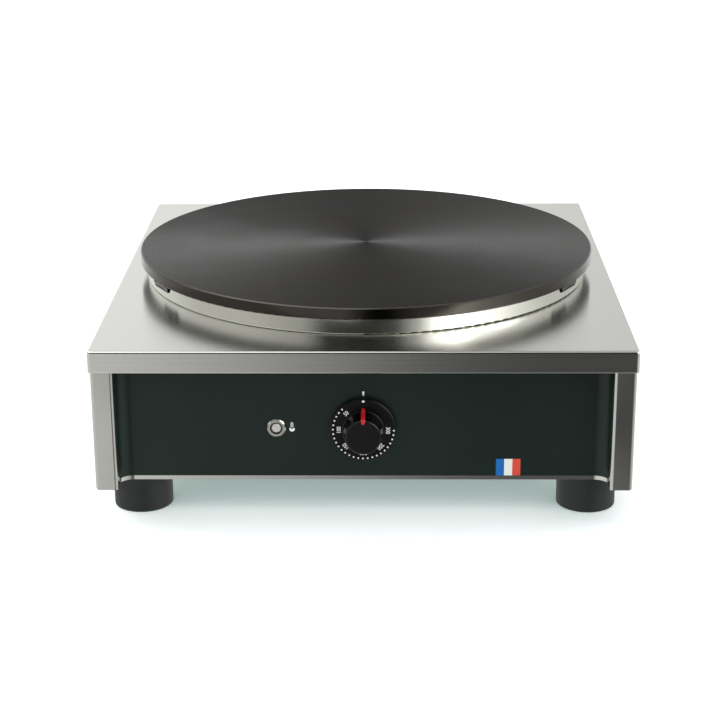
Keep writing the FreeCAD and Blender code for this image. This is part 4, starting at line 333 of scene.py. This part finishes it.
label_outline = np.array([[LABEL_LEFT, LABEL_FOOT], [LABEL_RIGHT, LABEL_FOOT],
                          [LABEL_RIGHT, LABEL_TOP], [LABEL_LEFT, LABEL_TOP]])
flat_piece("striped_label", [label_outline], FILM_FACE - INK_LIFT, label_vinyl, "housing")

# ---- Griddle plate ---------------------------------------------------------------------------
# Cast iron, faced on a lathe and seasoned with oil: nearly black, with fine rings left by the
# tool, small pores, and a soft sheen that fans out to the left and right of the middle.

# Tool rings are some 0.3 mm apart; they are drawn at about 1.4 mm, in uneven bands.
TOOL_RINGS = 700.0
# Radii and depth of the painted shade in the middle of the griddle's face.
SHADE_SPOT_INNER = 0.004
SHADE_SPOT_OUTER = 0.045
SHADE_SPOT_LEVEL = 0.45
RIM_START = 0.1988
RIM_WHOLE = 0.1991
RIM_ROUGHNESS = 0.10
griddle_iron, iron_tree, iron_shader = new_finish("seasoned_turned_cast_iron", "#282724", 1.0, 0.46,
                                                  Anisotropic=0.8, Anisotropic_Rotation=0.25)
iron_place = add_node(iron_tree, "TexCoord")
iron_flat = add_node(iron_tree, "VectorMath", {0: iron_place.outputs["Object"]},
                     operation="MULTIPLY")
iron_flat.inputs[1].default_value = (1.0, 1.0, 0.0)
iron_radius = add_node(iron_tree, "VectorMath", {0: iron_flat.outputs[0]}, operation="LENGTH")
iron_rings = add_node(iron_tree, "TexNoise", {"W": iron_radius.outputs["Value"]},
                      {"Scale": TOOL_RINGS, "Detail": 3.0, "Roughness": 0.6},
                      noise_dimensions="1D")
iron_pores = object_noise(iron_tree, cells=800.0, Detail=3.0)
iron_oil = object_noise(iron_tree, cells=24.0, Detail=4.0)
iron_mix = add_node(iron_tree, "MixRGB", {"Color1": iron_rings.outputs["Fac"],
                                          "Color2": iron_oil.outputs["Fac"]}, {"Fac": 0.45})
iron_speck = add_node(iron_tree, "MixRGB", {"Color1": iron_mix.outputs[0],
                                            "Color2": iron_pores.outputs["Fac"]}, {"Fac": 0.45})
iron_tone = add_node(iron_tree, "ValToRGB", {"Fac": iron_speck.outputs[0]})
iron_tone.color_ramp.elements[0].position = 0.41
iron_tone.color_ramp.elements[0].color = srgb("#151412")
iron_tone.color_ramp.elements[1].position = 0.59
iron_tone.color_ramp.elements[1].color = srgb("#32302C")
# Painted shade: the colour is darkened towards the middle of the face, where the sheen between its
# two fans is darkest.
iron_shade_falloff = add_node(iron_tree, "MapRange", {"Value": iron_radius.outputs["Value"]},
                       {"From Min": SHADE_SPOT_INNER, "From Max": SHADE_SPOT_OUTER,
                        "To Min": SHADE_SPOT_LEVEL})
iron_shaded_colour = add_node(iron_tree, "MixRGB", {"Color1": iron_tone.outputs[0],
                                             "Color2": iron_shade_falloff.outputs[0]}, {"Fac": 1.0},
                       blend_type="MULTIPLY")
# The rim is turned finer than the face and takes a smooth film of burnt oil, which gives it its low
# roughness; its lighter colour is a painted highlight that brightens the rim's reflection.
iron_edge = add_node(iron_tree, "MapRange", {"Value": iron_radius.outputs["Value"]},
                     {"From Min": RIM_START, "From Max": RIM_WHOLE})
iron_colour = add_node(iron_tree, "MixRGB", {"Fac": iron_edge.outputs[0],
                                             "Color1": iron_shaded_colour.outputs[0]},
                       {"Color2": srgb("#46443F")})
iron_tree.links.new(iron_colour.outputs[0], iron_shader.inputs["Base Color"])
iron_gloss = add_node(iron_tree, "MapRange", {"Value": iron_oil.outputs["Fac"]},
                      {"To Min": 0.40, "To Max": 0.52})
iron_sheen = add_node(iron_tree, "MixRGB", {"Fac": iron_edge.outputs[0],
                                            "Color1": iron_gloss.outputs[0]},
                      {"Color2": (*[RIM_ROUGHNESS] * 3, 1.0)})
iron_tree.links.new(iron_sheen.outputs[0], iron_shader.inputs["Roughness"])
iron_pit = add_node(iron_tree, "Bump", {"Height": iron_pores.outputs["Fac"]},
                    {"Strength": 0.4, "Distance": 0.00012})
iron_groove = add_node(iron_tree, "Bump", {"Height": iron_rings.outputs["Fac"],
                                           "Normal": iron_pit.outputs[0]},
                       {"Strength": 0.25, "Distance": 0.00015})
iron_tree.links.new(iron_groove.outputs[0], iron_shader.inputs["Normal"])
round_axis(iron_tree, iron_shader, "Z")
dress(griddle_iron, "griddle_plate")

# ---- Heater pieces under the griddle ---------------------------------------------------------
# Bright aluminised pan, pale mineral fibre pad, two tubular elements with an oxidised sheath,
# their brass pins, and the copper bulb and capillary of the thermostat.

pan_bright = zinc_plate("aluminised_pan", "#CFCFCA", 0.28)
dress(pan_bright, "reflector_pan")

fibre, fibre_tree, fibre_shader = new_finish("mineral_fibre_pad", "#DCD6C6", 0.0, 0.95)
fibre_strand = object_noise(fibre_tree, cells=420.0, Detail=6.0, Distortion=1.5).outputs["Fac"]
tones(fibre_tree, fibre_shader, fibre_strand, srgb("#C6BEAA"), srgb("#EFEADD"))
relief(fibre_tree, fibre_shader, fibre_strand, 0.6, 0.6)
dress(fibre, "insulation_pad")


def mottled(name, colour, other, metallic, roughness, grain_mm, relief_mm, **sockets):
    """A finish whose colour wanders between two hex colours over patches grain_mm across."""
    material, tree, shader = new_finish(name, colour, metallic, roughness, **sockets)
    patch = object_noise(tree, per_metre(grain_mm), Detail=3.0).outputs["Fac"]
    tones(tree, shader, patch, srgb(colour), srgb(other), 0.35, 0.65)
    relief(tree, shader, patch, 0.3, relief_mm)
    return material


dress(mottled("oxidised_element_sheath", "#3A3F39", "#4B4A42", 1.0, 0.5, 2.0, 0.05),
      "outer_heating_element", "inner_heating_element")
dress(mottled("plain_brass", "#B79650", "#C9AA66", 1.0, 0.3, 1.5, 0.02),
      "element_terminals", "earth_stud")
dress(mottled("drawn_copper", "#A8643F", "#BE7A52", 1.0, 0.32, 2.0, 0.02),
      "thermostat_bulb", "thermostat_capillary")

# ---- Thermostat, terminals and wires ---------------------------------------------------------
# Black phenolic thermostat and cut-out with a plain steel shaft, a cream ceramic terminal
# block, silicone-sleeved wires, and a nylon cable gland with its lock nut at the back.

dress(mottled("black_phenolic", "#1C1B1A", "#262524", 0.0, 0.45, 0.8, 0.05),
      "thermostat_body", "thermal_cutout")
dress(mottled("turned_shaft_steel", "#9A9A96", "#ABABA7", 1.0, 0.3, 0.6, 0.02),
      "thermostat_shaft")
dress(mottled("glazed_steatite", "#D9D2BE", "#E6E0CF", 0.0, 0.25, 2.0, 0.03),
      "terminal_block")
dress(mottled("silicone_sleeve", "#B5482F", "#C0553A", 0.0, 0.5, 1.0, 0.03), "internal_wires")
dress(mottled("moulded_nylon", "#161717", "#1F2020", 0.0, 0.42, 0.7, 0.04),
      "cable_gland", "gland_nut")

# ---- Feet ------------------------------------------------------------------------------------
# Four short cylinders of black moulded rubber, bolted up through the middle. The skin is matt,
# with a faint pebble from the mould.

foot_rubber = mottled("moulded_black_rubber", "#1B1F1E", "#232726", 0.0, 0.55, 0.9, 0.08)
dress(foot_rubber, "foot_front_left", "foot_front_right", "foot_rear_left", "foot_rear_right")

# ---- Dial and grip ---------------------------------------------------------------------------
# One knob in three pieces: a thin satin dial disc with printed dots and numbers, a moulded
# conical grip with a base rim, and a red insert down the grip's side and over its edge.

DIAL_FACE = -0.2173
DIAL_HEIGHT = 0.075
dial_satin = mottled("satin_black_dial", "#050606", "#090A0A", 0.0, 0.34, 0.5, 0.02,
                     Specular_IOR_Level=0.3)
grip_gloss = mottled("moulded_black_grip", "#040505", "#080909", 0.0, 0.22, 0.6, 0.015,
                     Specular_IOR_Level=0.45)
pointer_red = mottled("moulded_red_pointer", "#C4161C", "#D2202A", 0.0, 0.28, 0.8, 0.01,
                      Coat_Weight=0.4)
dress(dial_satin, "knob_dial")
dress(grip_gloss, "knob_grip")

POINTER_WIDTH = 0.0036
POINTER_THICKNESS = 0.0024
POINTER_FOOT = np.array([-0.2177, 0.0194])
POINTER_SHOULDER = np.array([-0.23468, 0.0147])
POINTER_TIP = np.array([-0.23468, 0.0111])
POINTER_BEND = 0.0016


def bent_insert(steps, sides):
    """The red insert: a bar that climbs the grip's side, bends over its edge and ends on its face.

    Its outer line is a straight run, a quadratic curve about the shoulder and a second straight
    run, in y and height over the axis. Round it go rounded-square rings, cos and sin of an angle
    raised to 0.5, which shrink as a half circle towards both ends.
    """
    climb = (POINTER_SHOULDER - POINTER_FOOT) / np.linalg.norm(POINTER_SHOULDER - POINTER_FOOT)
    drop = (POINTER_TIP - POINTER_SHOULDER) / np.linalg.norm(POINTER_TIP - POINTER_SHOULDER)
    start = POINTER_SHOULDER - climb * POINTER_BEND
    finish = POINTER_SHOULDER + drop * POINTER_BEND
    u = np.linspace(0, 1, steps)[:, None]
    rise = POINTER_FOOT + (start - POINTER_FOOT) * u
    curve = (1 - u) ** 2 * start + 2 * u * (1 - u) * POINTER_SHOULDER + u ** 2 * finish
    fall = finish + (POINTER_TIP - finish) * u
    line = np.vstack([rise, curve[1:], fall[1:]])
    step = np.linalg.norm(np.diff(line, axis=0), axis=1)
    along = np.concatenate([[0], np.cumsum(step)])
    slope = np.gradient(line, along, axis=0)
    inward = np.column_stack([-slope[:, 1], slope[:, 0]])
    inward /= np.linalg.norm(inward, axis=1)[:, None]
    half = POINTER_WIDTH / 2
    from_end = np.minimum(np.minimum(along, along[-1] - along) / half, 1)
    narrow = np.maximum(np.sqrt(1 - (1 - from_end) ** 2), 0.02)[:, None]
    middle = line + inward * POINTER_THICKNESS / 2
    turn = np.arange(sides) * 2 * math.pi / sides
    square_cos = np.sign(np.cos(turn)) * np.abs(np.cos(turn)) ** 0.5
    square_sin = np.sign(np.sin(turn)) * np.abs(np.sin(turn)) ** 0.5
    x = half * narrow * square_cos
    depth = POINTER_THICKNESS / 2 * square_sin * np.ones_like(narrow)
    y = middle[:, :1] + inward[:, :1] * depth
    z = DIAL_HEIGHT + middle[:, 1:] + inward[:, 1:] * depth
    points = np.stack([x, y, z], axis=2).reshape(-1, 3)
    rows = len(line)
    grid = np.arange(rows * sides).reshape(rows, sides)
    after = np.roll(grid, -1, axis=1)
    quads = np.stack([after[:-1], after[1:], grid[1:], grid[:-1]], axis=2).reshape(-1, 4)
    ends = [grid[0][::-1].tolist(), grid[-1].tolist()]
    mesh = bpy.data.meshes.new("pointer_insert")
    mesh.from_pydata(points.tolist(), [], quads.tolist() + ends)
    mesh.shade_smooth()
    return mesh


pointer = new_piece("pointer_insert", bent_insert(steps=12, sides=20), pointer_red)
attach(pointer, "knob")
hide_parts("knob_pointer")


def dial_spot(turn, radius):
    """Place on the dial's face: turn degrees counter-clockwise from the top, at a radius."""
    angle = math.radians(turn)
    return -radius * math.sin(angle), DIAL_HEIGHT + radius * math.cos(angle)


DOT_CIRCLE = 0.0243
DOT_RADIUS = 0.00072
DOT_COUNT = 26
DOT_STEP = 9.0
SCALE_START = 44.0
ZERO_DOT_ACROSS = 0.00115
ZERO_DOT_UP = 0.0009
dots = [ellipse(*dial_spot(SCALE_START + DOT_STEP * step, DOT_CIRCLE), DOT_RADIUS, DOT_RADIUS,
                steps=16) for step in range(DOT_COUNT)]
dots.append(ellipse(*dial_spot(0.0, DOT_CIRCLE), ZERO_DOT_ACROSS, ZERO_DOT_UP, steps=20))
flat_piece("dial_dots", dots, DIAL_FACE - INK_LIFT, ink_white, "knob")

NUMBER_CIRCLE = 0.0197
NUMBER_SIZE = 0.0047
NUMBER_NARROW = 0.84
NUMBER_SWELL = 0.00007
NUMBER_STEP = 45.0


def printed_number(text, turn):
    """A number in the dial's plane, centred on its circle and turned to read at the top.

    Its flat letters (u, v) go to x = cx + u cos t - v sin t and z = cz + u sin t + v cos t.
    """
    curve = bpy.data.curves.new("number_outline", "FONT")
    curve.body = text
    curve.size = NUMBER_SIZE
    curve.align_x = "CENTER"
    curve.align_y = "CENTER"
    curve.offset = NUMBER_SWELL
    outline = bpy.data.objects.new("number_outline", curve)
    bpy.context.scene.collection.objects.link(outline)
    bpy.context.view_layer.update()
    mesh = bpy.data.meshes.new_from_object(outline)
    bpy.data.objects.remove(outline)
    flat = np.empty(len(mesh.vertices) * 3)
    mesh.vertices.foreach_get("co", flat)
    u, v = flat.reshape(-1, 3)[:, 0] * NUMBER_NARROW, flat.reshape(-1, 3)[:, 1]
    v = v - (v.max() + v.min()) / 2
    u = u - (u.max() + u.min()) / 2
    angle = math.radians(turn)
    cx, cz = dial_spot(turn, NUMBER_CIRCLE)
    moved = np.column_stack([cx + u * math.cos(angle) - v * math.sin(angle),
                             np.full(len(u), DIAL_FACE - INK_LIFT),
                             cz + u * math.sin(angle) + v * math.cos(angle)])
    mesh.vertices.foreach_set("co", moved.ravel())
    mesh.update()
    piece = new_piece("dial_number_" + text, mesh, ink_white)
    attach(piece, "knob")


for step, number in enumerate(("50", "100", "150", "200", "250", "300")):
    printed_number(number, SCALE_START + NUMBER_STEP * step)

# ---- Pilot lamp ------------------------------------------------------------------------------
# A chrome-plated bezel pressed round a clear moulded lens, whose facets break up the lamp
# behind it. The lamp body is white nylon, held by a nut behind the panel.

chrome, chrome_tree, chrome_shader = new_finish("chrome_plated_bezel", "#ECECE4", 1.0, 0.14)
chrome_haze = object_noise(chrome_tree, cells=1500.0, Detail=2.0).outputs["Fac"]
gloss(chrome_tree, chrome_shader, chrome_haze, 0.08, 0.2)
dress(chrome, "pilot_bezel")
dress(mottled("white_nylon_lamp", "#D8D6CE", "#E4E2DA", 0.0, 0.4, 1.0, 0.02), "pilot_body")

LENS_X = -0.0697
LENS_RADIUS = 0.00385
LENS_RIM = -0.2128
LENS_RISE = 0.0015
LENS_DEPTH = 0.0052


def faceted_lens(rings, sides):
    """Moulded lens: height over the rim is rise (1 - r^2), flattened to facets by sides.

    Rows run from the middle to the rim, and each row has the same number of sides, turned half
    a side from the row before, so that the faces between them are flat triangles.
    """
    radius = LENS_RADIUS * np.linspace(0.0, 1.0, rings + 1)[1:]
    turn = np.arange(sides) * 2 * math.pi / sides
    row_turn = turn[None, :] + (np.arange(rings) % 2)[:, None] * math.pi / sides
    x = LENS_X + radius[:, None] * np.cos(row_turn)
    z = DIAL_HEIGHT + radius[:, None] * np.sin(row_turn)
    rise = LENS_RISE * (1 - (radius / LENS_RADIUS) ** 2)
    y = (LENS_RIM - rise)[:, None] * np.ones(sides)
    grid = np.stack([x, y, z], axis=2).reshape(-1, 3)
    back = grid[-sides:] + np.array([0.0, LENS_DEPTH, 0.0])
    tip = np.array([[LENS_X, LENS_RIM - LENS_RISE, DIAL_HEIGHT]])
    root = np.array([[LENS_X, LENS_RIM + LENS_DEPTH, DIAL_HEIGHT]])
    points = np.vstack([grid, back, tip, root])
    tip_index = len(points) - 2
    root_index = len(points) - 1
    side = np.arange(sides)
    after = np.roll(side, -1)
    faces = np.column_stack([np.full(sides, tip_index), side, after]).tolist()
    for row in range(rings):
        near, far = row * sides, (row + 1) * sides
        if row + 1 < rings and row % 2 == 0:
            faces += np.column_stack([side + near, side + far, after + near]).tolist()
            faces += np.column_stack([after + near, side + far, after + far]).tolist()
        else:
            faces += np.column_stack([side + near, side + far, after + far]).tolist()
            faces += np.column_stack([side + near, after + far, after + near]).tolist()
    last = rings * sides
    faces += np.column_stack([np.full(sides, root_index), after + last, side + last]).tolist()
    mesh = bpy.data.meshes.new("pilot_lens_faceted")
    mesh.from_pydata(points.tolist(), [], faces)
    return mesh


lens_clear, lens_tree, lens_shader = new_finish("clear_moulded_lens", "#FBF8F2", 0.0, 0.13,
                                                Transmission_Weight=0.45, IOR=1.49)
lens_haze = object_noise(lens_tree, cells=1200.0).outputs["Fac"]
gloss(lens_tree, lens_shader, lens_haze, 0.06, 0.2)
lens = new_piece("pilot_lens_faceted", faceted_lens(rings=3, sides=8), lens_clear)
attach(lens, "housing")
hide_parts("pilot_lens")

# Painted shade: a near-black ring lies in the bezel's well, round the lens, where the well is dark
# only from shade.
SHADE_RING_DEPTH = -0.21225
SHADE_RING_INNER = 0.0039
SHADE_RING_OUTER = 0.00505
SHADE_RING_SIDES = 48
# The ring's near-black colour is painted shade.
well_shade_paint = mottled("painted_well_shade", "#0B0B0B", "#141414", 0.0, 0.5, 0.5, 0.01)
shade_ring_flat = np.vstack([ellipse(LENS_X, DIAL_HEIGHT, radius, radius, steps=SHADE_RING_SIDES)
                       for radius in (SHADE_RING_INNER, SHADE_RING_OUTER)])
shade_ring_points = np.insert(shade_ring_flat, 1, SHADE_RING_DEPTH, axis=1)
shade_ring_index = np.arange(SHADE_RING_SIDES)
shade_ring_next = np.roll(shade_ring_index, -1)
shade_ring_faces = np.column_stack([shade_ring_index, shade_ring_index + SHADE_RING_SIDES, shade_ring_next + SHADE_RING_SIDES,
                              shade_ring_next])
shade_ring_mesh = bpy.data.meshes.new("pilot_well_shade")
shade_ring_mesh.from_pydata(shade_ring_points.tolist(), [], shade_ring_faces.tolist())
well_shade_ring = new_piece("pilot_well_shade", shade_ring_mesh, well_shade_paint)
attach(well_shade_ring, "housing")

# ---- Studio ----------------------------------------------------------------------------------
# A plain pale table, a soft lamp high on the left, a weaker one on the right and an even room
# light. Gloss sees a room of its own, bright and dark where the photograph's reflections are.

TABLE_HALF = 40.0
floor_mesh = bpy.data.meshes.new("table")
floor_mesh.from_pydata([(-TABLE_HALF, -TABLE_HALF, 0), (TABLE_HALF, -TABLE_HALF, 0),
                        (TABLE_HALF, TABLE_HALF, 0), (-TABLE_HALF, TABLE_HALF, 0)], [],
                       [(0, 1, 2, 3)])
floor = bpy.data.objects.new("table", floor_mesh)
bpy.context.scene.collection.objects.link(floor)
floor_paint = bpy.data.materials.new("pale_table")
floor_paint.use_nodes = True
floor_tree = floor_paint.node_tree
floor_tree.nodes.clear()
floor_ray = add_node(floor_tree, "LightPath")
# The camera sees the table overlit, as in the photograph: only the deep shade stays grey-green.
floor_matt = add_node(floor_tree, "BsdfDiffuse", None, {"Color": (1.15, 1.07, 1.09, 1.0)})
floor_lift = add_node(floor_tree, "Emission", None, {"Color": (0.11, 0.205, 0.18, 1.0)})
floor_seen = add_node(floor_tree, "AddShader", {0: floor_matt.outputs[0],
                                                1: floor_lift.outputs[0]})
floor_plain = add_node(floor_tree, "BsdfDiffuse", None, {"Color": (0.75, 0.75, 0.75, 1.0)})
floor_clear = add_node(floor_tree, "BsdfTransparent")
floor_lit = add_node(floor_tree, "MixShader", {0: floor_ray.outputs["Is Camera Ray"],
                                               1: floor_plain.outputs[0],
                                               2: floor_seen.outputs[0]})
floor_mix = add_node(floor_tree, "MixShader", {0: floor_ray.outputs["Is Glossy Ray"],
                                               1: floor_lit.outputs[0],
                                               2: floor_clear.outputs[0]})
add_node(floor_tree, "OutputMaterial", {"Surface": floor_mix.outputs[0]})
floor_mesh.materials.append(floor_paint)

world = bpy.data.worlds.new("studio_room")
bpy.context.scene.world = world
world.use_nodes = True
room = world.node_tree
room.nodes.clear()
ray = add_node(room, "LightPath")
heading = add_node(room, "TexCoord")
split = add_node(room, "SeparateXYZ", {"Vector": heading.outputs["Generated"]})
toward_front = add_node(room, "Math", {0: split.outputs["Y"]}, operation="MULTIPLY")
toward_front.inputs[1].default_value = -1.0
bearing = add_node(room, "Math", {0: split.outputs["X"], 1: toward_front.outputs[0]},
                   operation="ARCTAN2")
round_room = add_node(room, "MapRange", {"Value": bearing.outputs[0]},
                      {"From Min": -math.pi, "From Max": math.pi})

ROOM_PEAK = 5.0
ROOF_LEAN = (0.0, 0.25, 1.0)
SOFTBOX_WAY = (0.790, -0.169, 0.590)
SOFTBOX_LEVEL = 8.0


def level_ramp(stops):
    """Brightness by bearing: degrees from straight ahead of the dial, positive to its right.

    A level of 1 is a plain white wall, and ROOM_PEAK is the brightest that the ramp can hold.
    """
    node = add_node(room, "ValToRGB", {"Fac": round_room.outputs[0]})
    while len(node.color_ramp.elements) < len(stops):
        node.color_ramp.elements.new(0.5)
    for element, (degrees, level) in zip(node.color_ramp.elements, stops):
        element.position = (degrees + 180) / 360
        element.color = (*[level / ROOM_PEAK] * 3, 1.0)
    return node


walls = level_ramp([(-180, 0.97), (-168, 1.10), (-120, 0.95), (-98, 0.72), (-60, 0.66),
                    (-32, 0.45), (-20, 0.02), (4, 0.0), (16, 0.04), (28, 0.6), (38, 2.4),
                    (48, 4.4), (60, 2.2), (76, 1.3), (107, 0.8), (165, 0.72), (180, 0.97)])
low_walls = level_ramp([(-180, 0.9), (-90, 0.8), (-30, 0.75), (-9.5, 0.68), (-8.2, 0.56),
                        (-4.5, 0.33), (0, 0.10), (4.3, 0.02), (12, 0.03), (30, 0.45),
                        (90, 0.8), (180, 0.9)])
ceiling = level_ramp([(-180, 0.08), (-165, 0.3), (-140, 2.6), (-90, 3.0), (-50, 2.2), (-8, 2.0),
                      (15, 0.8), (60, 0.9), (90, 1.1), (140, 0.8), (165, 0.2), (180, 0.08)])
table = level_ramp([(-180, 0.8), (-9, 0.8), (-2, 0.5), (1, 0.2), (6, 0.15), (12, 0.2),
                    (40, 0.6), (180, 0.8)])
upper = add_node(room, "MapRange", {"Value": split.outputs["Z"]},
                 {"From Min": -0.1, "From Max": 0.1})
# The roof starts 23 degrees up at the back and 51 degrees up at the front.
roof_edge = add_node(room, "VectorMath", {0: heading.outputs["Generated"]},
                     operation="DOT_PRODUCT")
roof_edge.inputs[1].default_value = ROOF_LEAN
overhead = add_node(room, "MapRange", {"Value": roof_edge.outputs["Value"]},
                    {"From Min": 0.62, "From Max": 0.75})
# Low down, metal that faces the front sees the white table come up under the dark wall.
table_glow = add_node(room, "MapRange", {"Value": split.outputs["Z"]},
                      {"From Min": -0.372, "From Max": -0.41})
wall_view = add_node(room, "MixRGB", {"Fac": upper.outputs[0], "Color1": low_walls.outputs[0],
                                      "Color2": walls.outputs[0]})
roof_view = add_node(room, "MixRGB", {"Fac": overhead.outputs[0], "Color1": wall_view.outputs[0],
                                      "Color2": ceiling.outputs[0]})
table_view = add_node(room, "MixRGB", {"Fac": table_glow.outputs[0],
                                       "Color1": roof_view.outputs[0],
                                       "Color2": table.outputs[0]})
# A bright softbox stands to the right, 36 degrees up: it draws the arcs on the grip and the dial.
softbox_side = add_node(room, "VectorMath", {0: heading.outputs["Generated"]},
                        operation="DOT_PRODUCT")
softbox_side.inputs[1].default_value = SOFTBOX_WAY
softbox = add_node(room, "MapRange", {"Value": softbox_side.outputs["Value"]},
                   {"From Min": 0.972, "From Max": 0.99})
softbox_view = add_node(room, "MixRGB", {"Fac": softbox.outputs[0],
                                         "Color1": table_view.outputs[0]},
                        {"Color2": (*[SOFTBOX_LEVEL / ROOM_PEAK] * 3, 1.0)})
glossy = add_node(room, "Background", {"Color": softbox_view.outputs[0]}, {"Strength": ROOM_PEAK})
ambient = add_node(room, "Background", None, {"Color": (0.97, 0.99, 1.0, 1.0), "Strength": 0.9})
backdrop = add_node(room, "Background", None, {"Color": (1.0, 1.0, 1.0, 1.0), "Strength": 1.0})
clear_ray = add_node(room, "Math", {0: ray.outputs["Is Camera Ray"],
                                    1: ray.outputs["Is Transmission Ray"]}, operation="MAXIMUM")
first_mix = add_node(room, "MixShader", {0: ray.outputs["Is Glossy Ray"],
                                         1: ambient.outputs[0], 2: glossy.outputs[0]})
room_mix = add_node(room, "MixShader", {0: clear_ray.outputs[0], 1: first_mix.outputs[0],
                                        2: backdrop.outputs[0]})
add_node(room, "OutputWorld", {"Surface": room_mix.outputs[0]})


def stand(holder, right, up, back, place):
    """Puts a lamp or camera at a place, with its own axes pointing right, up and back."""
    holder.matrix_world = Matrix([[right[i], up[i], back[i], place[i]] for i in range(3)]
                                 + [[0, 0, 0, 1]])


def soft_sun(name, bearing_deg, height_deg, strength, spread_deg):
    """A lamp without falloff whose light comes from a bearing and a height above the table."""
    lamp = bpy.data.lights.new(name, "SUN")
    lamp.energy = strength
    lamp.angle = math.radians(spread_deg)
    holder = bpy.data.objects.new(name, lamp)
    holder.visible_glossy = False
    bpy.context.scene.collection.objects.link(holder)
    a, e = math.radians(bearing_deg), math.radians(height_deg)
    back = np.array([math.sin(a) * math.cos(e), -math.cos(a) * math.cos(e), math.sin(e)])
    right = np.array([math.cos(a), math.sin(a), 0.0])
    stand(holder, right, np.cross(back, right), back, (0.0, 0.0, 0.0))


soft_sun("left_soft_lamp", -120.0, 48.0, 1.3, 50.0)
soft_sun("right_soft_lamp", 75.0, 50.0, 0.7, 60.0)

# ---- Camera ----------------------------------------------------------------------------------
# The view was fitted to the photograph: the cover's corners, the griddle's and ring's ellipses,
# the feet and the dial's centre.

CAMERA_PLACE = np.array([0.01885, -1.55288, 0.59703])
CAMERA_YAW = -0.0191
CAMERA_PITCH = 0.3305
CAMERA_ROLL = -0.0067
CAMERA_SENSOR = 36.0
CAMERA_LENS = 91.31
ahead = np.array([math.sin(CAMERA_YAW) * math.cos(CAMERA_PITCH),
                  math.cos(CAMERA_YAW) * math.cos(CAMERA_PITCH), -math.sin(CAMERA_PITCH)])
level_right = np.array([math.cos(CAMERA_YAW), -math.sin(CAMERA_YAW), 0.0])
level_up = np.cross(level_right, ahead)
camera_right = math.cos(CAMERA_ROLL) * level_right + math.sin(CAMERA_ROLL) * level_up
camera_up = -math.sin(CAMERA_ROLL) * level_right + math.cos(CAMERA_ROLL) * level_up
camera_data = bpy.data.cameras.new("photo_camera")
camera_data.sensor_width = CAMERA_SENSOR
camera_data.lens = CAMERA_LENS
camera = bpy.data.objects.new("photo_camera", camera_data)
bpy.context.scene.collection.objects.link(camera)
stand(camera, camera_right, camera_up, -ahead, CAMERA_PLACE)
bpy.context.scene.camera = camera
bpy.context.scene.view_settings.view_transform = "Standard"
